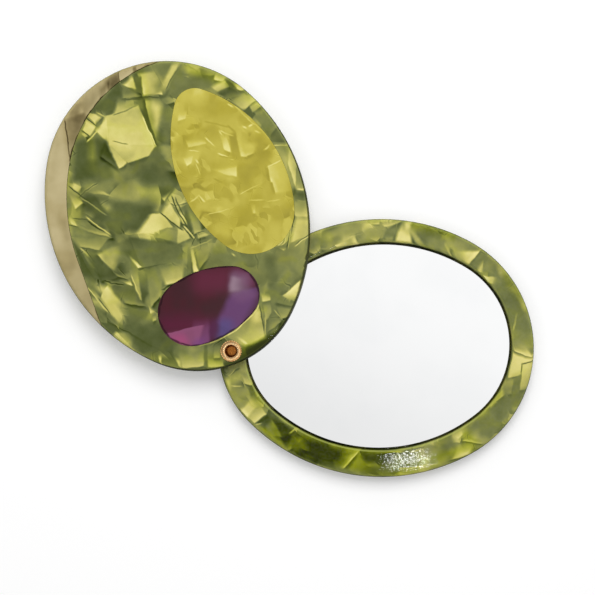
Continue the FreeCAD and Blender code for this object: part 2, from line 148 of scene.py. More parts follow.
class Graph:
    """Node tree of one finish, with a short call for each kind of node that the finishes use."""

    def __init__(self, tree: bpy.types.NodeTree) -> None:
        """Starts from an empty tree."""
        self.tree = tree
        tree.nodes.clear()

    def node(self, kind: str, **settings: object) -> bpy.types.Node:
        """Adds a node of a kind and sets its properties."""
        made = self.tree.nodes.new(kind)
        for name, value in settings.items():
            setattr(made, name, value)
        return made

    def feed(self, socket: Socket, value: Input) -> None:
        """Links an output to a socket, or writes a constant on it."""
        if isinstance(value, Socket):
            self.tree.links.new(value, socket)
        elif socket.type == "RGBA":
            socket.default_value = (*value, 1.0)
        else:
            socket.default_value = value

    def fill(self, sockets: list[Socket], values: tuple[Input, ...]) -> None:
        """Feeds sockets with values in turn."""
        for socket, value in zip(sockets, values):
            self.feed(socket, value)

    def math(self, operation: str, *values: Input) -> Socket:
        """Scalar sum, product or other operation."""
        made = self.node("ShaderNodeMath", operation=operation)
        self.fill(made.inputs, values)
        return made.outputs[0]

    def vector(self, operation: str, *values: Input) -> Socket:
        """Operation on vectors; a dot product or a length comes back as a number.

        Args:
            operation: Name of the operation; SCALE takes its factor as the second value.
            values: Vectors or outputs.

        Returns:
            The output that holds the result.
        """
        made = self.node("ShaderNodeVectorMath", operation=operation)
        self.fill((made.inputs[0], made.inputs["Scale"]) if operation == "SCALE" else made.inputs, values)
        return made.outputs["Value" if operation in ("DOT_PRODUCT", "LENGTH") else "Vector"]

    def parts(self, vector: Socket) -> list[Socket]:
        """X, Y and Z of a vector."""
        made = self.node("ShaderNodeSeparateXYZ")
        self.feed(made.inputs[0], vector)
        return list(made.outputs)

    def join(self, *parts: Input) -> Socket:
        """Vector of X, Y and Z."""
        made = self.node("ShaderNodeCombineXYZ")
        self.fill(made.inputs, parts)
        return made.outputs[0]

    def turn(self, vector: Socket, angle: Input) -> Socket:
        """Coordinates seen in axes that are turned anticlockwise about Z by an angle in radians."""
        made = self.node("ShaderNodeVectorRotate", rotation_type="Z_AXIS", invert=True)
        self.feed(made.inputs["Vector"], vector)
        self.feed(made.inputs["Angle"], angle)
        return made.outputs[0]

    def ease(self, value: Input, low: Input, high: Input, to_low: Input = 0.0, to_high: Input = 1.0) -> Socket:
        """Smooth step of a value between two limits, scaled to a new range."""
        made = self.node("ShaderNodeMapRange", interpolation_type="SMOOTHSTEP")
        self.fill(made.inputs, (value, low, high, to_low, to_high))
        return made.outputs[0]

    def mix(self, factor: Input, first: Input, second: Input) -> Socket:
        """Number between two numbers."""
        made = self.node("ShaderNodeMix", data_type="FLOAT")
        self.fill([made.inputs[index] for index in (0, 2, 3)], (factor, first, second))
        return made.outputs[0]

    def blend(self, factor: Input, first: Input, second: Input, mode: str = "MIX") -> Socket:
        """Colour between two colours."""
        made = self.node("ShaderNodeMix", data_type="RGBA", blend_type=mode)
        self.fill([made.inputs[index] for index in (0, 6, 7)], (factor, first, second))
        return made.outputs[2]

    def noise(self, vector: Socket, size: float, detail: float = 2.0, dimensions: str = "2D",
              output: str = "Fac") -> Socket:
        """Soft noise with features of about a size in millimetres, as a number or as a colour."""
        made = self.node("ShaderNodeTexNoise", noise_dimensions=dimensions)
        self.feed(made.inputs["Vector"], vector)
        self.feed(made.inputs["Scale"], 1.0 / size)
        self.feed(made.inputs["Detail"], detail)
        return made.outputs[output]

    def cells(self, vector: Socket, size: float, feature: str = "F1") -> bpy.types.Node:
        """Random cells of about a size in millimetres, or the distance to their edges."""
        made = self.node("ShaderNodeTexVoronoi", voronoi_dimensions="2D", feature=feature)
        self.feed(made.inputs["Vector"], vector)
        self.feed(made.inputs["Scale"], 1.0 / size)
        return made

    def ramp(self, value: Socket, stops: Palette) -> Socket:
        """Colour scale through stops of position and colour."""
        made = self.node("ShaderNodeValToRGB")
        elements = made.color_ramp.elements
        while len(elements) < len(stops):
            elements.new(HALF)
        for element, (position, colour) in zip(elements, stops):
            element.position = position
            element.color = (*colour, 1.0)
        self.feed(made.inputs[0], value)
        return made.outputs["Color"]

    def bump(self, height: Socket, depth: float) -> Socket:
        """Normal of a relief whose height runs over a depth in millimetres."""
        made = self.node("ShaderNodeBump")
        self.feed(made.inputs["Strength"], 1.0)
        self.feed(made.inputs["Distance"], depth * MM)
        self.feed(made.inputs["Height"], height)
        return made.outputs[0]

    def place(self, shift: Triple = (0.0, 0.0, 0.0)) -> Socket:
        """Place on the piece in millimetres, counted from a shifted origin."""
        coordinates = self.node("ShaderNodeTexCoord").outputs["Object"]
        return self.vector("ADD", self.vector("SCALE", coordinates, 1.0 / MM), shift)

    def warp(self, place: Socket, size: float, reach: float) -> Socket:
        """Place moved about by soft noise: features of a size, moves of up to half the reach each way."""
        wander = self.vector("SUBTRACT", self.noise(place, size, output="Color"), HALVES)
        return self.vector("ADD", place, self.vector("SCALE", wander, reach))

    def shader(self, kind: str, *values: Input) -> Socket:
        """Shader of a kind, with its first sockets fed in turn."""
        made = self.node(kind)
        self.fill(made.inputs, values)
        return made.outputs[0]

    def surface(self, **values: Input) -> None:
        """Principled surface with the given sockets, named with underscores in place of spaces."""
        shader = self.node("ShaderNodeBsdfPrincipled")
        for name, value in values.items():
            self.feed(shader.inputs[name.replace("_", " ")], value)
        self.feed(self.node("ShaderNodeOutputMaterial").inputs[0], shader.outputs[0])


def new_graph(name: str) -> tuple[bpy.types.Material, Graph]:
    """Material with an empty node tree.

    Args:
        name: Name of the finish.

    Returns:
        The material and the graph that fills it.
    """
    material = bpy.data.materials.new(name)
    material.use_nodes = True
    return material, Graph(material.node_tree)


SIDES = ("First", "Second", "Third", "Fourth")
SIDE_STEP = (-0.5, 0.5)
LIP_STEP = (0.5, 3.5, 1.0, 0.0)
SHADE_STEP = (-3.0, -0.5, 0.0, -2.0)


def fold_group() -> bpy.types.NodeTree:
    """Node group that lays one fold on a canvas, a vector of the place's X and Y and the tone there.

    The place's distance from each side is a product with the side's numbers. Smooth steps of the distances from
    the first side, the flanks and the far side multiply to the fold's cover, where the tone gives way to the
    fold's own. A lip inside the far side is brighter, and a shade lies just outside it. The canvas goes from
    fold to fold, so they are laid one by one.

    Returns:
        The group, made once and shared by all finishes.
    """
    name = "pearl_fold"
    if name in bpy.data.node_groups:
        return bpy.data.node_groups[name]
    group = bpy.data.node_groups.new(name, "ShaderNodeTree")
    graph = Graph(group)
    for label in ("Canvas", *SIDES, "Tone"):
        group.interface.new_socket(label, in_out="INPUT", socket_type="NodeSocketVector")
    group.interface.new_socket("Lip", in_out="INPUT", socket_type="NodeSocketFloat")
    group.interface.new_socket("Canvas", in_out="OUTPUT", socket_type="NodeSocketVector")
    given = graph.node("NodeGroupInput").outputs
    x, y, tone = graph.parts(given["Canvas"])
    place = graph.join(x, y, 1.0)
    first, second, third, fourth = [graph.vector("DOT_PRODUCT", place, given[side]) for side in SIDES]
    flanks = graph.ease(graph.math("MINIMUM", second, fourth), *SIDE_STEP)
    band = graph.math("MULTIPLY", graph.ease(first, *SIDE_STEP), flanks)
    cover = graph.math("MULTIPLY", band, graph.ease(third, *SIDE_STEP))
    own = graph.vector("DOT_PRODUCT", place, given["Tone"])
    lit = graph.math("MULTIPLY_ADD", graph.ease(third, *LIP_STEP), given["Lip"], own)
    depth = graph.math("MULTIPLY", graph.ease(third, *SHADE_STEP), given["Lip"])
    under = graph.math("MULTIPLY_ADD", band, depth, tone)
    result = graph.node("NodeGroupOutput")
    graph.feed(result.inputs["Canvas"], graph.join(x, y, graph.mix(cover, under, lit)))
    return group


def lay_fold(graph: Graph, canvas: Socket, fold: Fold) -> Socket:
    """Lays a fold on a canvas.

    Args:
        graph: Graph of the finish.
        canvas: X and Y in millimetres, and the tone under the fold.
        fold: The fold; the last side of one with three corners counts twice.

    Returns:
        The new canvas.
    """
    made = graph.node("ShaderNodeGroup", node_tree=fold_group())
    sides, tone = fold.planes()
    *_, lip = fold.edge.value
    graph.feed(made.inputs["Canvas"], canvas)
    graph.feed(made.inputs["Tone"], tone)
    graph.feed(made.inputs["Lip"], lip)
    for label, side in zip(SIDES, sides + sides[-1:]):
        graph.feed(made.inputs[label], side)
    return made.outputs["Canvas"]


ACETATE_IOR = 1.48
COAT_WEIGHT = 0.3
COAT_ROUGHNESS = 0.03


def polish(graph: Graph, colour: Socket, roughness: Socket, wave: Socket, ripple: float, **more: Input) -> None:
    """Surface of polished acetate: a satin ground under a smooth clear coat that ripples very slightly.

    Args:
        graph: Graph of the finish.
        colour: Colour of the ground.
        roughness: Roughness of the ground.
        wave: Height of the coat's ripples, 0 to 1.
        ripple: Their depth in millimetres.
        more: Other sockets of the surface.
    """
    graph.surface(Base_Color=colour, Roughness=roughness, IOR=ACETATE_IOR, Specular_IOR_Level=0.0,
                  Coat_Roughness=COAT_ROUGHNESS, Coat_IOR=ACETATE_IOR, Coat_Normal=graph.bump(wave, ripple),
                  **{"Coat_Weight": COAT_WEIGHT, **more})


# Steps are the two limits of a value and, where there are four numbers, the results there. Warps are the size of
# the noise and its reach, noises are the size and the detail, all in millimetres. Warps and sizes of folds and
# slivers are shares of the finish's own fold or sliver size.
FOLD_LEAN = (1.3, 0.9, 0.0)
FOLD_WARP = (1.4, 0.9)
COMMON_SIZE, COMMON_SWING = 0.8, 1.4
SOFT_SIZE, SOFT_STEP = 1.2, (0.40, 0.62, 0.015, 0.45)
SLIVER_WARP = (2.0, 1.1)
SLIVER_TURN = 0.7
SLIVER_SQUEEZE = (2.6, 0.9, 1.0)
SLIVER_SWING = 1.5
CLUSTER_SIZE, CLUSTER_STEP = 2.2, (0.55, 0.63)
CREASE_WARP = (1.0, 0.5)
CREASE_SIZE = 1.5
SHOWN_SIZE, SHOWN_STEP = 1.3, (0.52, 0.60)
DARK_STEP, DARK_SHARE = (0.012, 0.028, 1.0, 0.0), -1.6
BRIGHT_STEP, BRIGHT_SHARE = (0.028, 0.075, 1.0, 0.0), 0.6
# The next steps place painted light on the rounded edges: a painted sheen where they turn, most on inner edges
# towards the lamp, and painted shade on the walls, higher on edges turned away from the lamp.
BEND_START, BEND_END = (0.45, 0.75), (0.86, 0.995, 1.0, 0.0)
LAMP_SIDE, LAMP_STEP = (0.35, 0.94, 0.0), (0.05, 0.4)
INNER_STEP = (-8.0, -2.0, 0.5, 0.12)
GLOW_SHARE, GLOW_LEAST = 0.85, 0.16
AWAY_SIDE, AWAY_STEP = (0.77, -0.64, 0.0), (0.08, 0.34)
WALL_LOW, WALL_HIGH, WALL_SHARE = 0.25, 0.84, 0.86
SHADE_LOW, SHADE_HIGH = 0.55, 0.15
GRAIN_STEP = (0.42, 0.58, 0.08, 0.42)
CLEAR_STEP = (0.5, 0.72, 0.0, 0.3)
TEAR_WARP, SPLIT_WARP = (5.0, 0.8), (1.3, 0.22)
LUSTRE_NOISE, LUSTRE_SHARE, LUSTRE_DEPTH = (1.6, 3.0), 0.08, 0.03
SATIN_WARP, SATIN_NOISE, SATIN_SHARE = (7.0, 5.0), (5.5, 1.0), 0.24
DULL_SIZE, DULL_STEP = 9.0, (0.45, 0.70, 0.0, 0.35)
PEARL_ROUGHNESS = (0.14, 0.26)


@dataclass(frozen=True)
class PearlAcetate:
    """Polished acetate with crumpled pearl: folds with soft slopes and crisp creases, deeper at the edges, where
    shade and sheen are painted.

    The folds are laid out at the height of the face, and lean as they go down into the sheet.
    """

    name: str
    palette: Palette
    grey: Colour
    deep_and_shade: Colour
    glow: Colour
    traces: tuple[Fold, ...] = ()
    clear: Palette = ()
    pools: tuple[Fold, ...] = ()
    shift: Triple = (0.0, 0.0, 0.0)
    fold_size: float = 10.0
    sliver_size: float = 5.5
    middle: float = 0.5
    contrast: float = 0.75
    slope: float = 1.6
    crease: float = 0.3
    ripple: float = 0.006
    ripple_size: float = 1.7
    grain: float = 0.0
    rim_shade: float = 0.0
    face: float = 7.95

    def folds(self, graph: Graph, place: Socket) -> Socket:
        """Tone of the folds that fill the sheet.

        Each cell of a warped cell pattern has its own tone and its own slope: the dot product of the place in
        the cell with a random direction. Towards some edges the cells melt into a soft common tone.

        Args:
            graph: Graph of the finish.
            place: Place on the piece in millimetres.

        Returns:
            The tone, about 0 to 1.
        """
        size = self.fold_size
        bent = graph.warp(place, *(share * size for share in FOLD_WARP))
        cell = graph.cells(bent, size).outputs
        direction = graph.vector("MULTIPLY", graph.vector("SUBTRACT", cell["Color"], HALVES), FLAT)
        inside = graph.vector("SUBTRACT", bent, cell["Position"])
        slope = graph.math("MULTIPLY", graph.vector("DOT_PRODUCT", inside, direction), self.slope / size)
        level = graph.math("SUBTRACT", graph.parts(cell["Color"])[2], HALF)
        folded = graph.math("ADD", graph.math("MULTIPLY_ADD", level, self.contrast, self.middle), slope)
        swing = COMMON_SWING * self.contrast
        common = graph.math("MULTIPLY_ADD", graph.noise(place, COMMON_SIZE * size, 1.0), swing,
                            self.middle - HALF * swing)
        rim = graph.cells(bent, size, "DISTANCE_TO_EDGE").outputs["Distance"]
        softness = graph.ease(graph.noise(place, SOFT_SIZE * size), *SOFT_STEP)
        return graph.mix(graph.ease(rim, 0.0, softness), common, folded)

    def slivers(self, graph: Graph, place: Socket, tone: Socket) -> Socket:
        """Adds clusters of narrow folds, and thin dark creases with a bright lip beside them.

        Args:
            graph: Graph of the finish.
            place: Place on the piece in millimetres.
            tone: Tone of the folds.

        Returns:
            The tone with slivers and creases.
        """
        size = self.sliver_size
        bent = graph.warp(place, *(share * size for share in SLIVER_WARP))
        narrow = graph.vector("MULTIPLY", graph.turn(bent, SLIVER_TURN), SLIVER_SQUEEZE)
        level = graph.math("SUBTRACT", graph.parts(graph.cells(narrow, size).outputs["Color"])[0], HALF)
        lit = graph.math("MULTIPLY_ADD", level, SLIVER_SWING * self.contrast, self.middle)
        cluster = graph.ease(graph.noise(place, CLUSTER_SIZE * size, 1.0), *CLUSTER_STEP)
        tone = graph.mix(cluster, tone, lit)
        torn = graph.warp(place, *(share * size for share in CREASE_WARP))
        seam = graph.cells(torn, CREASE_SIZE * size, "DISTANCE_TO_EDGE").outputs["Distance"]
        shown = graph.ease(graph.noise(place, SHOWN_SIZE * size, 1.0), *SHOWN_STEP)
        for step, share in ((BRIGHT_STEP, BRIGHT_SHARE), (DARK_STEP, DARK_SHARE)):
            line = graph.math("MULTIPLY", graph.ease(seam, *step), shown)
            tone = graph.math("MULTIPLY_ADD", line, share * self.crease, tone)
        return tone

    def edges(self, graph: Graph, colour: Socket) -> Socket:
        """Paints light and shade on the rounded edges: a painted sheen where they turn, most of all on inner
        edges towards the lamp, and on the walls a deep colour that is partly painted shade.

        On a finish with a rim shade, the painted shade reaches further up on the edges away from the lamp.

        Args:
            graph: Graph of the finish.
            colour: Colour of the face.

        Returns:
            The colour of the face and of its edges.
        """
        normal = graph.node("ShaderNodeNewGeometry").outputs["Normal"]
        level = graph.math("ABSOLUTE", graph.parts(normal)[2])
        bend = graph.math("MULTIPLY", graph.ease(level, *BEND_START), graph.ease(level, *BEND_END))
        towards = graph.ease(graph.vector("DOT_PRODUCT", normal, LAMP_SIDE), *LAMP_STEP)
        inner = graph.ease(graph.vector("DOT_PRODUCT", normal, graph.place()), *INNER_STEP)
        share = graph.math("MULTIPLY_ADD", graph.math("MULTIPLY", towards, inner), GLOW_SHARE, GLOW_LEAST)
        # Painted sheen where the edges turn.
        colour = graph.blend(graph.math("MULTIPLY", bend, share), colour, self.glow)
        # Painted shade on the walls, mixed with the acetate's deeper colour; it reaches higher on edges away from
        # the lamp.
        away = graph.ease(graph.vector("DOT_PRODUCT", normal, AWAY_SIDE), *AWAY_STEP, 0.0, self.rim_shade)
        low = graph.math("MULTIPLY_ADD", away, SHADE_LOW, WALL_LOW)
        high = graph.math("MULTIPLY_ADD", away, SHADE_HIGH, WALL_HIGH)
        return graph.blend(graph.ease(level, low, high, WALL_SHARE, 0.0), colour, self.deep_and_shade)

    def coat(self, graph: Graph, place: Socket) -> Input:
        """Weight of the clear coat: even, or with grains of a size in millimetres."""
        return graph.ease(graph.noise(place, self.grain, 0.0), *GRAIN_STEP) if self.grain else COAT_WEIGHT

    def colour(self, graph: Graph, tone: Socket, x: Socket, y: Socket, chance: Socket) -> Socket:
        """Colour of a tone: the pearl's own, or a deeper one in pools where the acetate is clear.

        Args:
            graph: Graph of the finish.
            tone: Tone of the folds, about 0 to 1.
            x: First coordinate of the place, in millimetres.
            y: Second coordinate of the place, in millimetres.
            chance: Noise that decides how clear the acetate is between the pools.

        Returns:
            The colour.
        """
        pearl = graph.ramp(tone, self.palette)
        if not self.clear:
            return pearl
        canvas = graph.join(x, y, graph.ease(chance, *CLEAR_STEP))
        for fold in self.pools:
            canvas = lay_fold(graph, canvas, fold)
        return graph.blend(graph.parts(canvas)[2], pearl, graph.ramp(tone, self.clear))

    def material(self) -> bpy.types.Material:
        """Makes the finish.

        Returns:
            A principled material: pearl under a clear coat.
        """
        material, graph = new_graph(self.name)
        place = graph.place()
        depth = graph.math("SUBTRACT", graph.parts(place)[2], self.face)
        place = graph.vector("ADD", place, graph.vector("SCALE", FOLD_LEAN, depth))
        shifted = graph.vector("ADD", place, self.shift)
        tone = self.slivers(graph, shifted, self.folds(graph, shifted))
        x, y, _ = graph.parts(graph.warp(graph.warp(place, *TEAR_WARP), *SPLIT_WARP))
        canvas = graph.join(x, y, tone)
        for fold in self.traces:
            canvas = lay_fold(graph, canvas, fold)
        lustre = graph.noise(shifted, *LUSTRE_NOISE)
        satin = graph.noise(graph.warp(shifted, *SATIN_WARP), *SATIN_NOISE)
        shimmer = graph.math("ADD", graph.math("MULTIPLY", lustre, LUSTRE_SHARE),
                             graph.math("MULTIPLY", satin, SATIN_SHARE))
        shimmer = graph.math("SUBTRACT", shimmer, HALF * (LUSTRE_SHARE + SATIN_SHARE))
        tone = graph.math("ADD", graph.parts(canvas)[2], shimmer)
        colour = self.colour(graph, tone, x, y, satin)
        dull = graph.ease(graph.noise(shifted, DULL_SIZE), *DULL_STEP)
        colour = graph.blend(dull, colour, graph.blend(1.0, colour, self.grey, "SOFT_LIGHT"))
        polish(graph, self.edges(graph, colour), graph.math("MULTIPLY_ADD", lustre, *PEARL_ROUGHNESS),
               graph.noise(shifted, self.ripple_size, 1.0), self.ripple,
               Coat_Weight=self.coat(graph, shifted), Normal=graph.bump(lustre, LUSTRE_DEPTH))
        return material


@dataclass(frozen=True)
class SmokedAcetate:
    """Polished clear acetate over a dark ground, with soft clouds of other colours; sizes in millimetres."""

    name: str
    ground: Colour
    shade: Colour
    clouds: tuple[tuple[Fold, Colour], ...]
    drift: Pair = (7.0, 1.8)
    shade_size: float = 8.0
    shade_step: Pair = (0.35, 0.7)
    haze: Pair = (1.8, 3.0)
    roughness: Pair = (0.12, 0.2)
    ripple: float = 0.004
    ripple_size: float = 2.2

    def material(self) -> bpy.types.Material:
        """Makes the finish.

        Returns:
            A principled material: each cloud's colour is laid over the ground where its fold covers it.
        """
        material, graph = new_graph(self.name)
        place = graph.place()
        drift = graph.vector("MULTIPLY", graph.warp(place, *self.drift), FLAT)
        shade = graph.ease(graph.noise(place, self.shade_size), *self.shade_step)
        colour = graph.blend(shade, self.ground, self.shade)
        for fold, cloud in self.clouds:
            share = graph.parts(lay_fold(graph, drift, fold))[2]
            colour = graph.blend(share, colour, cloud)
        polish(graph, colour, graph.math("MULTIPLY_ADD", graph.noise(place, *self.haze), *self.roughness),
               graph.noise(place, self.ripple_size), self.ripple)
        return material


@dataclass(frozen=True)
class SilveredGlass:
    """Front of a small mirror: clean silver with a trace of haze."""

    name: str = "silvered_glass"
    silver: Colour = (0.955, 0.96, 0.962)
    haze: Colour = (0.935, 0.942, 0.946)
    cloud: Pair = (22.0, 3.0)
    haze_step: Pair = (0.4, 0.7)
    roughness_step: tuple[float, ...] = (0.35, 0.75, 0.0, 0.02)

    def material(self) -> bpy.types.Material:
        """Makes the finish, a metal surface with very faint cloudy haze."""
        material, graph = new_graph(self.name)
        cloud = graph.noise(graph.place(), *self.cloud)
        graph.surface(Base_Color=graph.blend(graph.ease(cloud, *self.haze_step), self.silver, self.haze),
                      Metallic=1.0, Roughness=graph.ease(cloud, *self.roughness_step))
        return material


@dataclass(frozen=True)
class RivetCopper:
    """Bright copper with small tool marks, and painted shade in the bore, lighter on its floor; sizes in
    millimetres.
    """

    name: str
    bright: Colour
    worn: Colour
    # Painted shade in the bore: darkest on its wall, lighter on its floor.
    bore_shade: Colour
    floor: Colour
    axis: Pair
    mouth: float = 8.3
    bottom: float = 4.2
    head: float = 2.0
    head_fade: float = 1.0
    mouth_fade: Pair = (-0.9, 0.1)
    bottom_fade: float = 0.3
    floor_fade: Pair = (0.9, 1.4)
    speck: tuple[float, float, str] = (0.35, 3.0, "3D")
    worn_step: Pair = (0.38, 0.68)
    roughness_step: tuple[float, ...] = (0.3, 0.75, 0.18, 0.42)
    relief: float = 0.02

    def material(self) -> bpy.types.Material:
        """Makes the finish.

        Returns:
            A metal whose colour and roughness vary with fine noise; painted shade darkens the bore's wall and
            beside it, and its floor less.
        """
        material, graph = new_graph(self.name)
        place = graph.place()
        speck = graph.noise(place, *self.speck)
        height = graph.parts(place)[2]
        colour = graph.blend(graph.ease(speck, *self.worn_step), self.bright, self.worn)
        above = graph.ease(height, self.head, self.head + self.head_fade)
        # Painted shade on the bore's wall and the rim beside its mouth.
        sunk = graph.ease(height, *(self.mouth + fade for fade in self.mouth_fade), 1.0, 0.0)
        colour = graph.blend(graph.math("MULTIPLY", sunk, above), colour, self.bore_shade)
        # A lighter painted shade on the middle of the bore's floor.
        aside = graph.vector("MULTIPLY", graph.place((-self.axis[0], -self.axis[1], 0.0)), FLAT)
        middle = graph.ease(graph.vector("LENGTH", aside), *self.floor_fade, 1.0, 0.0)
        lowest = graph.ease(height, self.bottom, self.bottom + self.bottom_fade, 1.0, 0.0)
        lowest = graph.math("MULTIPLY", lowest, above)
        colour = graph.blend(graph.math("MULTIPLY", lowest, middle), colour, self.floor)
        graph.surface(Base_Color=colour, Metallic=1.0, Roughness=graph.ease(speck, *self.roughness_step),
                      Normal=graph.bump(speck, self.relief))
        return material


@dataclass(frozen=True)
class PlainSheet:
    """Matt hidden stock, such as nylon or foam tape, mottled at the scale of its grain, in millimetres."""

    name: str
    light: Colour
    dark: Colour
    grain: float
    roughness: float
    detail: float = 3.0
    mottle_step: Pair = (0.35, 0.65)
    spread: float = 0.2
    relief: float = 0.04

    def material(self) -> bpy.types.Material:
        """Makes the finish, a mottled colour with a shallow grain."""
        material, graph = new_graph(self.name)
        mottle = graph.noise(graph.place(), self.grain, self.detail, "3D")
        graph.surface(Base_Color=graph.blend(graph.ease(mottle, *self.mottle_step), self.dark, self.light),
                      Roughness=graph.math("MULTIPLY_ADD", mottle, self.spread,
                                           self.roughness - HALF * self.spread),
                      Normal=graph.bump(mottle, self.relief))
        return material


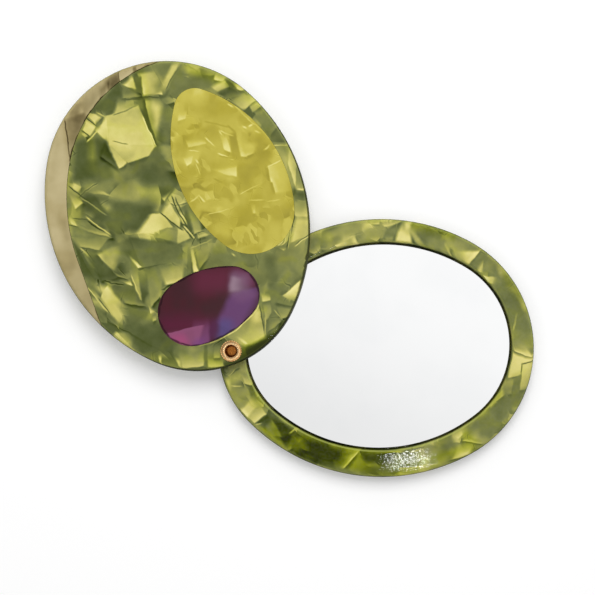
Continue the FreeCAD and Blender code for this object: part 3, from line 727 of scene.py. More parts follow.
COVER_FOLDS = traced((
    (MELT, .2, .24, -80.8, 43.9, -79.2, 55.6, -71.6, 55, -69.4, 45.5),
    (MELT, .3, .32, -64.5, 51.4, -56.9, 54.1, -52.9, 42.6, -60.8, 42.7),
    (MELT, .36, .3, -66.2, 47.9, -64.5, 51.1, -59.1, 51.4, -60.8, 43),
    (MELT, .24, .22, -75.4, 63.7, -68, 72.1, -65.6, 66.3, -69.4, 61.5),
    (MELT, .38, .36, -55.8, 75.2, -50.9, 75.8, -50.9, 67, -55.3, 69),
    (MELT, .34, .42, -52.8, 75.8, -41.6, 73.2, -43, 68.9, -52.2, 67.6),
    (MELT, .24, .27, -70, 40, -57.8, 38.6, -60.2, 30.2, -70, 31.9),
    (MELT, .3, .26, -75.9, 37.2, -68.9, 37.1, -67.3, 29.2, -70, 30.3),
    (SMOKE, .38, .46, -44.2, 28.6, -31.8, 24.7, -33.5, 20.7, -46.4, 21),
    (SMOKE, .48, .42, -33.2, 23.9, -18.3, 26.5, -19.7, 17.9, -30.8, 17.4),
    (MELT, .26, .34, -29.7, 24.4, -26.7, 24.9, -25.7, 16.8, -28.1, 17.4),
    (MELT, .27, .22, -66.5, 4.9, -57.9, 8.7, -50.6, -.3, -61.9, -2.1),
    (MELT, .34, .26, -66.5, 11.7, -60.3, 11.6, -59.8, 8.4, -65.7, 4.9),
    (MELT, .4, .52, -52.4, .8, -41.1, 1.3, -40.6, -5.2, -52.5, -5.4),
    (MELT, .5, .38, -70.2, 43.8, -66.7, 48.2, -64.5, 47.6, -65.6, 43.3),
    (FOLD, .36, .5, -67.2, 69.6, -64.5, 69.3, -61.8, 67.1, -66.9, 66.4),
    (FOLD, .58, .96, -56.1, 73.9, -56.4, 67.4, -61.8, 67.1, -62.9, 72.9),
    (MELT, .72, .86, -62.9, 72.6, -56.9, 73.3, -59.1, 69.8, -61.8, 69.3),
    (CRISP, .3, .22, -63.8, 72.9, -62, 72.3, -61.5, 67.3, -63.3, 68.6),
    (CRISP, .92, .66, -66.9, 70.3, -64.3, 72.5, -63.3, 68.9, -65.8, 69.5),
    (FOLD, .4, .58, -59, 75, -52.8, 75.9, -56.1, 69.8),
    (VEIL, .84, .76, -53.6, 75.8, -51.7, 75.8, -55.4, 68.4, -57.3, 68.7),
    (SLIVER, .32, .34, .37, -52.13, 74.4, -55.4, 68.98),
    (CRISP, .76, 1, -58.5, 67.4, -56.6, 68.6, -56.4, 67.4),
    (CRISP, .42, .66, -56.9, 66.3, -54.7, 67.3, -52.8, 65.7, -55.3, 64.8),
    (SLIVER, .16, .24, .38, -61.51, 66.8, -56.9, 66.55),
    (SLIVER, .14, .2, .38, -67.21, 66.09, -61.78, 66.45),
    (FOLD, .34, .66, -55, 66, -56.9, 54.1, -58.6, 54.1, -61, 66),
    (MELT, .84, .8, -59.6, 65.5, -56.4, 65.2, -56.7, 58.9, -58.3, 57.3),
    (MELT, .38, .32, -56, 63.6, -53.7, 63.3, -53.7, 53.5, -56.9, 54.1),
    (FOLD, .64, .86, -68.3, 66.1, -63.1, 65.2, -62.9, 64.4, -69.3, 62),
    (CRISP, .94, .72, -74.3, 58, -71.3, 61.8, -69.9, 61.8, -70.2, 53.9),
    (CRISP, .72, .92, -71.6, 54.7, -65.1, 54.7, -65.9, 49.2, -67.9, 47.8),
    (CRISP, .9, .7, -70.5, 54.4, -57.9, 54.3, -59.8, 51, -65.6, 49.4),
    (CRISP, .92, .66, -57.7, 53.7, -70.5, 53.6, -71.2, 61.5, -62.8, 64.7),
    (SMOKE, .8, .78, -70.2, 60.7, -62.9, 62.8, -61.8, 59, -68.3, 57.9),
    (SLIVER, .4, .5, .32, -69.12, 61.96, -63, 64.78),
    (SLIVER, .46, .4, .24, -69.35, 55.09, -65.61, 54.44),
    (CRISP, .26, .1, -62.2, 63.3, -60.6, 63, -57.6, 54.1, -58.2, 53.9),
    (SLIVER, 1, .96, .32, -61.66, 61.7, -58.08, 53.93),
    (VEIL, .14, .2, -73.9, 55.9, -71, 54.8, -68.8, 48.3, -74.6, 50.8),
    (FOLD, .14, .2, -71.6, 54.7, -69.9, 52, -68.3, 47.9, -72.7, 50.9),
    (MELT, .4, .6, -75.9, 55, -74.1, 55, -73.7, 49.3, -75.9, 50.1),
    (MELT, .26, .32, -76.2, 49.6, -72.7, 49.8, -70, 45.2, -73.8, 43.6),
    (CRISP, .98, .76, -75.9, 61.8, -74.3, 62.6, -72.3, 61.4, -74, 59.6),
    (CRISP, .95, .76, -76.4, 61.2, -74, 59.3, -75.6, 56.6, -77.8, 58.1),
    (CRISP, .85, .61, -78.2, 57.1, -77.3, 57.6, -76.1, 56.6, -77, 56),
    (CRISP, .3, .36, -74, 60, -72, 61.5, -72.5, 59.6, -73.7, 59),
    (SLIVER, .9, .8, .41, -76.45, 54.96, -73.6, 58.03),
    (SLIVER, .06, .1, .24, -76.39, 61.48, -73.95, 59.39),
    (SLIVER, .1, .14, .25, -77.86, 57.95, -75.63, 56.5),
    (SLIVER, .85, .75, .33, -73.46, 62.87, -71.56, 61.44),
    (CRISP, .92, .72, -80.6, 43.1, -80, 44, -77.9, 43.1, -78.9, 41.7),
    (CRISP, .95, .66, -75.7, 41.4, -72.1, 41.7, -69.3, 40.3, -72.4, 40.8),
    (MELT, .34, .26, -78.1, 42.3, -69.4, 39.8, -68.3, 38.1, -77.6, 40.1),
    (VEIL, .2, .24, -77.9, 40.6, -74.1, 40.8, -69.8, 34.2, -77.9, 36),
    (CRISP, .58, .88, -81.4, 41.6, -79.7, 40.9, -77.5, 38.7, -79.5, 37.3),
    (SLIVER, .12, .2, .33, -81.08, 43.1, -71.6, 35.72),
    (SLIVER, .62, .5, .37, -78.1, 40.1, -71.06, 35.5),
    (SMOKE, .54, .32, -62.9, 42.2, -56.4, 41.4, -57.8, 37.3, -67.3, 38.7),
    (MELT, .5, .7, -68.1, 40.2, -64.5, 43.9, -61.6, 41.9, -62.9, 39.5),
    (CRISP, .52, .86, -56.7, 40, -54.1, 41.8, -55.8, 38.9),
    (SMOKE, .2, .22, -61.8, 46, -58.6, 44.8, -59.7, 43, -61.8, 43.8),
    (CRISP, .96, .7, -63.2, 30.3, -59.6, 35.8, -56.4, 35.7, -53.5, 32.1),
    (CRISP, .62, .38, -58.9, 29.7, -55.6, 31.9, -51.6, 31, -51.6, 27.9),
    (MELT, .96, .9, -63, 30.4, -59.2, 29.9, -56.5, 32.2, -59.7, 32.7),
    (CRISP, .9, .64, -52.3, 31.9, -50.2, 31.9, -49, 29.1, -52.4, 27.5),
    (CRISP, .94, .72, -56.7, 35.7, -54.3, 38.9, -51.8, 34.6, -51.8, 31.6),
    (CRISP, .95, .74, -52.1, 36.5, -50.7, 35.9, -50, 32.7, -51.3, 33.2),
    (SLIVER, .1, .16, .3, -56.85, 35.73, -51.05, 31.31),
    (SLIVER, .12, .16, .32, -53.94, 40.26, -50.18, 32.39),
    (SLIVER, .2, .14, .27, -53, 39.98, -49.85, 33.74),
    (FOLD, .5, .68, -50.2, 38.6, -46.9, 35.3, -45.5, 30.7, -48.3, 30.2),
    (SLIVER, .96, .9, .33, -50.86, 32.53, -47.9, 29),
    (SLIVER, .1, .14, .22, -51.04, 32.17, -48.44, 28.86),
    (CRISP, .9, .62, -47.3, 30.1, -45.3, 30.8, -43.8, 30.2, -47.1, 29),
    (CRISP, .18, .28, -46.9, 28.7, -44.8, 29.5, -43.1, 29.3, -46.7, 28.2),
    (SLIVER, .14, .16, .22, -48.57, 27.51, -47.76, 29.53),
    (SLIVER, .12, .16, .22, -47.48, 30.48, -45.59, 31),
    (SLIVER, .8, .66, .32, -48.85, 26.7, -43.44, 28.83),
    (VEIL, .18, .14, -80.5, 29.1, -78.3, 26.8, -74.2, 18.4, -77.2, 19),
    (CRISP, .44, .58, -79.6, 33.9, -76.5, 34.5, -72, 30.8, -74, 30.4),
    (SLIVER, .92, .84, .35, -76.62, 35.13, -70.12, 30.21),
    (SLIVER, .05, .1, .3, -76.21, 34.04, -71.62, 30.84),
    (CRISP, .6, .82, -78.7, 32.4, -71.6, 31, -69.9, 29.5, -73.8, 30.3),
    (CRISP, .56, .86, -81.4, 35.6, -80, 34.8, -78.8, 32.5, -80.6, 33.1),
    (SLIVER, .16, .24, .27, -80, 34.75, -76.48, 34.44),
    (SLIVER, .14, .2, .27, -81.09, 32.85, -78.78, 32.35),
    (FOLD, .42, .6, -80.5, 31.8, -78.4, 31.9, -70.3, 29.3, -78.1, 27.1),
    (CRISP, .48, .64, -80.3, 30.1, -70.3, 29.4, -73.5, 26.2, -78.1, 27.1),
    (FOLD, .36, .76, -66.5, 28.7, -66.2, 23.6, -69.5, 20.6, -73.8, 25),
    (MELT, .6, .74, -72.7, 24.7, -68.9, 27.6, -68.1, 24.1, -69.5, 20.7),
    (SLIVER, .24, .3, .3, -78.12, 26.94, -72.71, 25.98),
    (CRISP, .26, .14, -80, 28.2, -77.3, 25, -71.6, 17.8, -74.6, 18.7),
    (FOLD, .26, .14, -76.2, 25, -73.5, 23.9, -67.6, 19.1, -72.7, 18.1),
    (SLIVER, .8, .6, .4, -78.12, 26.74, -75.95, 24.7),
    (FOLD, .26, .36, -65.5, 24.6, -65.3, 29.4, -51.1, 27.4, -60.8, 21.5),
    (CRISP, .3, .36, -65.3, 29.5, -51.1, 27.5, -51.1, 23.1, -61.9, 21.4),
    (MELT, .36, .42, -67.6, 23.6, -64.9, 24.1, -63, 21.1, -66.2, 19.2),
    (CRISP, .72, 1, -65.1, 24.5, -63.8, 23.8, -61.8, 21.6, -63, 21.3),
    (CRISP, .56, .78, -64.9, 19.4, -63.1, 20.4, -61.8, 12.9, -62.3, 12.9),
    (CRISP, .76, 1, -66.9, 17.6, -64.9, 18.2, -64.3, 16.7, -65.1, 16.8),
    (CRISP, .95, .7, -69.1, 20.2, -67.3, 19.3, -66.1, 18.6, -68.1, 19.2),
    (SLIVER, .1, .14, .24, -68.12, 18.98, -65.68, 18.16),
    (SLIVER, .92, .8, .22, -64.6, 19.23, -61.91, 12.73),
    (SLIVER, .18, .26, .33, -61.62, 21.37, -55.13, 22.55),
    (FOLD, .4, .6, -61.1, 20.8, -54.9, 22.4, -56.8, 14.3, -59.5, 10.8),
    (FOLD, .52, .84, -57.8, 21.9, -50.5, 23.5, -51.1, 18.1, -55.4, 16.7),
    (CRISP, .66, .98, -60.3, 11.4, -58.1, 10.1, -59.6, 9.4),
    (CRISP, .4, .7, -59.2, 8.9, -57.9, 9.5, -58.1, 7.6, -59, 7.3),
    (FOLD, .56, .4, -69.1, 15.7, -61.9, 13, -60.6, 11.1, -66.5, 12.2),
    (FOLD, .58, .92, -66, 11.1, -68.1, 6.4, -73, 13.9, -71.1, 16.8),
    (VEIL, .82, .86, -71.6, 11.7, -69.5, 12.5, -66.5, 8.2, -68.4, 6.8),
    (MELT, .94, .8, -74.3, 16.9, -70.6, 16.6, -67.3, 12, -71.9, 12.8),
    (CRISP, .6, .8, -76.2, 16.2, -73.8, 14.7, -69.5, 8.9, -71.6, 10.2),
    (SLIVER, .18, .24, .24, -73.4, 13.48, -70.3, 9.41),
    (SLIVER, .92, .84, .21, -76.1, 16.06, -71.1, 9.82),
    (CRISP, .76, 1, -71.6, 8.3, -70, 7.2, -66.4, 5.1, -68.4, 6),
    (FOLD, .22, .34, -72.7, 9.6, -70, 8.7, -66.5, 5.5, -70, 7.1),
    (MELT, .34, .26, -74.2, 11.7, -71.6, 8.2, -67.3, 3.1, -73, 7.4),
    (SLIVER, .86, .7, .89, -69.01, 4.28, -63.96, -.6),
    (VEIL, .3, .34, -53.6, .6, -49.2, .5, -50.2, -2.3, -53.6, -2.3),
    (CRISP, .98, .72, -57.6, -2, -56.8, -2.1, -56.7, -4.5, -57.3, -4.4),
    (CRISP, .28, .42, -56.7, -2.1, -52.9, -2.7, -51.9, -5.1, -56.7, -4.7),
    (CRISP, .94, .66, -53, -2.6, -51.6, -3.1, -51.4, -5.1, -52.1, -4.8),
    (CRISP, .46, .34, -49.7, 26.4, -49, 26.5, -48.7, 20.2, -49.8, 19.8),
    (CRISP, .7, .98, -49.1, 26.4, -48.3, 26.8, -46.8, 20.4, -48.2, 20.3),
    (FOLD, .66, .42, -48.3, 27, -42.9, 29, -44.3, 23.7, -46.7, 21),
    (SLIVER, .86, .8, .49, -37.78, 25.01, -37.11, 24.47),
    (MELT, .74, .66, -50.3, -.3, -47, 0, -47.6, -1.1, -49.2, -1.1),
    (FOLD, .6, .72, -52.2, -1.6, -45.4, -1.4, -45.2, -4.6, -51.4, -5.1),
    (CRISP, .26, .32, -45.4, .9, -44.7, 1, -44.5, -4.9, -45.3, -5.1),
    (CRISP, .52, .8, -44.5, -2.5, -40, -3, -40.5, -4.8, -44.4, -5),
    (CRISP, .38, .68, -42.9, 1, -41, 1.4, -41.1, -2.3, -42.9, -2.5),
    (CRISP, .52, .84, -40, 3.2, -31.1, 11.2, -28.8, 2.4, -34.6, .3),
    (MELT, .94, .8, -33, 9.3, -31, 10.9, -29.8, 6.6, -32.5, 6.6),
    (CRISP, .78, .96, -37.2, 3, -35.7, 2.9, -33.8, 1.2, -34.6, .9),
    (CRISP, .42, .72, -30.1, 12.3, -27.8, 12.9, -27.5, 9.3, -29, 7.3),
    (CRISP, .62, .84, -30.5, 14.7, -28, 13.9, -27.8, 12.7, -30, 12.3),
    (SLIVER, .2, .3, .33, -30.95, 12.02, -29.19, 3.12),
    (SLIVER, .86, .7, .27, -29.22, 8.24, -29.3, 2.85),
    (CRISP, .44, .7, -26.4, 11.2, -21.8, 11, -23.4, 8.2, -25.2, 7.9),
    (CRISP, .48, .66, -28.6, 4.1, -25.2, 7.3, -26.4, 4.2, -28.4, 3),
    (FOLD, .5, .42, -28.7, 8, -26, 9.3, -25.2, 7.1, -28.6, 4.2),
    (SLIVER, .84, .6, .24, -26.78, 10.11, -24.91, 7.68),
    (CRISP, .81, 1, -20.7, 13.6, -22.2, 12.6, -24.7, 13.7, -19.9, 18),
    (FOLD, .5, .28, -25.1, 13.6, -21.4, 12.6, -21.8, 10.9, -26.2, 12),
    (CRISP, .9, .69, -22.5, 27.8, -21, 35.7, -17.5, 35.7, -17.9, 29.6),
    (SLIVER, .16, .22, .38, -21.32, 35.45, -23.52, 26.42),
    (SLIVER, .92, .8, .19, -22.08, 33.56, -23.14, 26.54),
    (SLIVER, .96, .86, .32, -21.04, 27.12, -17.84, 29.62),
    (SLIVER, .2, .2, .19, -20.87, 27.5, -17.89, 29.97),
    (CRISP, .66, .9, -25.6, 26.3, -23.5, 26.5, -24.3, 25.7),
    (SLIVER, .9, .9, .32, -30.91, 11.7, -32.5, 9.04),
    (SLIVER, .95, .95, .32, -32.5, 9.04, -34.73, 6.71),
    (SLIVER, .95, .95, .32, -34.73, 6.71, -37.37, 4.66),
    (SLIVER, .92, .92, .33, -37.37, 4.66, -39.49, 3.42),
    (SLIVER, .85, .85, .32, -39.5, 3.42, -41.52, 2.42),
    (SLIVER, .75, .75, .32, -41.52, 2.42, -44.26, 1.43),
    (SLIVER, .6, .6, .32, -44.26, 1.42, -46.89, .68),
    # These four folds darken the cover's lower right edge beside the rivet: painted shade.
    (MELT, .24, .14, -36.1, .2, -31.9, 1, -34.1, -2, -36.8, -3),
    (CRISP, .06, -.12, -34.6, -.1, -27.6, 3.7, -27.1, 1.2, -34.1, -2.8),
    (CRISP, .1, -.12, -28.7, 3.1, -22.5, 8.2, -22, 6.6, -27.6, 1.2),
    (CRISP, .14, -.06, -40.3, -3.6, -34.1, -.9, -34.1, -3.3, -40.1, -5.2),
    (MELT, .74, .72, -51.1, 75.6, -44.6, 74.9, -42.5, 72.4, -50.1, 72.8),
    (CRISP, .84, .6, -49.4, 75.4, -46.4, 74.8, -46.7, 73.5, -48.1, 74.4),
    (CRISP, .56, .44, -46.4, 74.8, -42.7, 73.5, -42.2, 72.4, -45.7, 72.7),
    (CRISP, .48, .72, -51.3, 72.5, -49.1, 72.4, -49.4, 71.9),
    (CRISP, .66, .86, -42.1, 73.1, -39.3, 71.9, -40.3, 70.7, -42.6, 71.3),
    (CRISP, .9, .62, -43.4, 69.3, -39.8, 71.3, -38.3, 69.4, -41.8, 68),
    (CRISP, .24, .32, -38.9, 71.4, -36.9, 69.7, -38, 68.7, -39.2, 71),
    (CRISP, .2, .4, -41.5, 67.5, -37.6, 68.9, -35.4, 67.1, -39, 66.3),
    (CRISP, .56, .82, -38.2, 65.5, -34.9, 68.1, -31.5, 65.8, -34.9, 63),
    (CRISP, .72, .92, -38, 70.5, -36.5, 69.9, -34.4, 68.3, -36.5, 68.6),
    (CRISP, .3, .16, -35.3, 63.1, -32.8, 63.5, -31.5, 62, -32.4, 60.9),
    (CRISP, .86, .58, -33.3, 64.2, -31, 65.9, -29.9, 64.2, -32.2, 62.5),
    (CRISP, .44, .36, -31.8, 61.5, -28.7, 62.5, -25.5, 59.3, -27.8, 56.2),
    (CRISP, .36, .2, -27.8, 54.9, -25.7, 57.5, -23.5, 56, -22.9, 54.3),
    (SLIVER, .98, .9, .32, -26.71, 53.84, -22.38, 53.54),
    (MELT, .66, .72, -26.6, 53.4, -22.4, 53.4, -19.6, 42.4, -22.6, 42.2),
    (MELT, .34, .6, -25.8, 53.2, -23.1, 53.4, -22.7, 50.4, -24.7, 51.5),
    (CRISP, .66, .9, -22.7, 53.4, -20.5, 48.9, -21.1, 42.7, -23.1, 48.9),
    (CRISP, .44, .66, -20.6, 49.6, -19.2, 45.7, -18.9, 42.1, -21, 42.4),
    (CRISP, .18, .3, -21.6, 41.8, -18.7, 41.5, -17.9, 38.9, -21.2, 39.6),
    (CRISP, .56, .8, -21.4, 39, -17.9, 38.6, -17.6, 34.8, -21.3, 34.9),
    (SLIVER, .95, .85, .43, -20.68, 42.21, -18.66, 41.87),
))
CRESCENT_FOLDS = traced((
    (MELT, .78, .66, -87.1, 42.2, -85.4, 55.7, -83.8, 55.7, -85.4, 42.2),
    (MELT, .52, .58, -83.8, 34.7, -81.4, 34.7, -78.8, 21.1, -81.2, 21.2),
    (FOLD, .4, .22, -82.4, 60.8, -80.7, 50.1, -80.2, 51.2, -76.1, 63),
    (VEIL, .46, .34, -79.6, 64.2, -80.4, 58.1, -81.1, 58.1, -80.9, 62.8),
    (VEIL, .16, .14, -78, 65.4, -78.8, 60.4, -79.7, 60.4, -79, 65.2),
    (FOLD, .4, .54, -78.3, 65.2, -73.1, 69.4, -72.8, 66.1, -76.4, 61.8),
    (MELT, .54, .48, -76.4, 67.1, -73.5, 69.4, -75, 66.1, -76.1, 65.2),
    (VEIL, .3, .2, -73.3, 69.4, -71.1, 71.3, -71.4, 67.5, -72.6, 66.1),
    (VEIL, .1, .08, -71.4, 71.1, -70.4, 72, -70.2, 68.9, -70.9, 68.2),
    (FOLD, .24, .16, -70.4, 72, -68.3, 73.7, -67.6, 70.7, -70.2, 68.7),
    (CRISP, .58, .84, -68.2, 73.6, -64.3, 75.1, -63.7, 73.2, -67.6, 70.8),
    (CRISP, .2, .26, -64.3, 75, -63.3, 75.3, -63, 73.5, -63.8, 73.1),
    (CRISP, .52, .76, -63.3, 75.3, -61.1, 75.9, -60.8, 74.5, -63.1, 73.4),
    (CRISP, .4, .52, -61.2, 75.9, -58.8, 76.2, -58.6, 75, -60.9, 74.3),
    (SLIVER, .06, .12, .31, -82.47, 61.03, -80.58, 49.86),
    (SLIVER, .08, .14, .21, -68.32, 73.62, -67.61, 70.68),
    (SLIVER, .12, .2, .33, -75.03, 14.03, -73.43, 7.7),
))
LARGE_FOLDS = traced((
    (SMOKE, .2, .44, -49.5, 66.5, -40.3, 66.4, -35.5, 60.4, -46.3, 60.5),
    (SMOKE, .62, .54, -53.3, 68.2, -44.1, 68.9, -44.7, 65.4, -52.8, 63.8),
    (MELT, .14, .3, -29.5, 54.4, -26.6, 51.9, -30.1, 47.4, -32, 50.4),
    (MELT, .16, .3, -36.9, 48.5, -31.2, 49.3, -33.9, 42, -36.9, 44.2),
    (FOLD, .5, .74, -22.5, 50.6, -21.8, 41.6, -26.4, 40.8, -28.5, 48.2),
    (CRISP, .66, .9, -28, 47.8, -27.1, 47.4, -27.1, 44, -27.6, 44),
    (CRISP, .18, .26, -38.7, 56.6, -37, 57.4, -35.4, 50.6, -37.9, 51.3),
    (CRISP, .7, .92, -41, 56.4, -39.2, 56.5, -38.2, 52, -40.1, 52.7),
    (CRISP, .52, .8, -37.1, 58.4, -35.5, 57.7, -33.9, 50.6, -35.5, 50.8),
    (FOLD, .46, .72, -35.5, 56.6, -30.9, 54.1, -31.9, 51.6, -34.4, 50.8),
    (CRISP, .62, .92, -43, 47.4, -36.5, 48.6, -36.7, 45.4, -40.4, 46.2),
    (MELT, .66, .44, -41.5, 46.4, -36.9, 45.5, -37.2, 43.6, -39.9, 44.2),
    (CRISP, .58, .84, -50.2, 55.4, -45, 55.4, -44.6, 54.2, -49.6, 53.3),
    (MELT, .5, .76, -50.1, 53.3, -45.1, 52.9, -46.3, 50.6, -49.9, 48.2),
    (MELT, .52, .4, -46.3, 53.4, -40.4, 52.9, -37.7, 49, -44.7, 48.3),
    (MELT, .34, .56, -44.7, 55.6, -40.9, 56.4, -40.9, 53.4, -43.6, 54),
    (SLIVER, .92, .8, .38, -41.59, 51.72, -37.54, 50.12),
    (SLIVER, .3, .3, .27, -41.19, 50.96, -37.67, 50.4),
    (SLIVER, .24, .3, .43, -44.94, 60.21, -38.72, 58.68),
    (SLIVER, .24, .3, .43, -39, 59.08, -37.11, 57.17),
    (SLIVER, .8, .66, .37, -40.89, 57.74, -37.65, 56.36),
    (SLIVER, .8, .7, .32, -47.42, 49.1, -46.35, 46.12),
    (SLIVER, .84, .7, .27, -35.82, 40.9, -30.95, 43.3),
    (SLIVER, .82, .7, .27, -44.22, 35.49, -38.54, 36.91),
    (SLIVER, .8, .7, .32, -33.12, 39.26, -29.62, 39.1),
    (SLIVER, .76, .7, .27, -28.54, 38.83, -25.3, 39.42),
    (SLIVER, .8, .7, .38, -48.8, 38.82, -46.64, 40.43),
    (SLIVER, .8, .9, .38, -46.64, 40.43, -45.3, 38.8),
    (SLIVER, .2, .2, .27, -46.5, 39.89, -45.97, 38.8),
    (CRISP, .48, .8, -32.9, 38.3, -31.6, 38.3, -31.7, 35.5, -32.5, 35.5),
    (CRISP, .56, .8, -52.2, 63.1, -49.7, 63.1, -50.1, 60.9, -52.3, 60.4),
    (MELT, .5, .74, -35.5, 59.1, -32.2, 59.8, -31.2, 57.1, -34.4, 57.7),
    (SMOKE, .24, .32, -36.9, 39.3, -33.4, 38.7, -34, 33.3, -37.2, 34.4),
    (MELT, .5, .62, -43.4, 32.8, -37.9, 32.9, -38, 28.9, -42.9, 30.6),
    (MELT, .48, .62, -28.6, 32.5, -24.5, 33.8, -25.3, 28.3, -28, 29.7),
    (SLIVER, .7, .66, .33, -37.08, 64.23, -27.38, 55.2),
    (VEIL, .6, .78, -48.4, 66.5, -45.5, 67, -44.9, 68.4, -48.2, 68.5),
    (SLIVER, .9, .8, .43, -38.84, 64.84, -37.48, 63.9),
    (SLIVER, .95, .8, .54, -35.07, 58.78, -33.99, 58.18),
    (SLIVER, .95, .85, .6, -33.45, 58.78, -32.36, 59.53),
    (SLIVER, .9, .8, .48, -31.83, 57.54, -30.48, 56.98),
    (SLIVER, .9, .7, .43, -29.28, 52.45, -27.79, 53.9),
    (MELT, .26, .2, -31.6, 56.3, -29.3, 56.8, -29, 53.9, -31.2, 50.6),
    (SLIVER, .92, .76, .38, -44.96, 55.98, -42.4, 53.63),
    (SLIVER, .86, .7, .32, -49.3, 52.59, -46.6, 52.3),
    (CRISP, .66, .92, -50.9, 50.5, -48, 51.6, -48.9, 49.1, -49.9, 48.3),
    (SLIVER, .95, .8, .54, -47.42, 50.14, -46.6, 49.05),
    (SLIVER, .16, .24, .7, -47.71, 42.88, -45.41, 44.34),
    (MELT, .22, .34, -36.5, 61.8, -34.9, 62.3, -34.4, 59.9, -36, 59.9),
    (MELT, .76, .66, -34.4, 53.9, -31.7, 54.4, -30.9, 53.6, -32.8, 51.7),
    (SLIVER, .84, .7, .38, -41.03, 57.6, -40.22, 56.38),
    (SLIVER, .26, .34, .38, -42.83, 45.14, -40.14, 43.91),
    (SLIVER, .86, .8, .33, -28.5, 48.03, -25.1, 49.76),
))
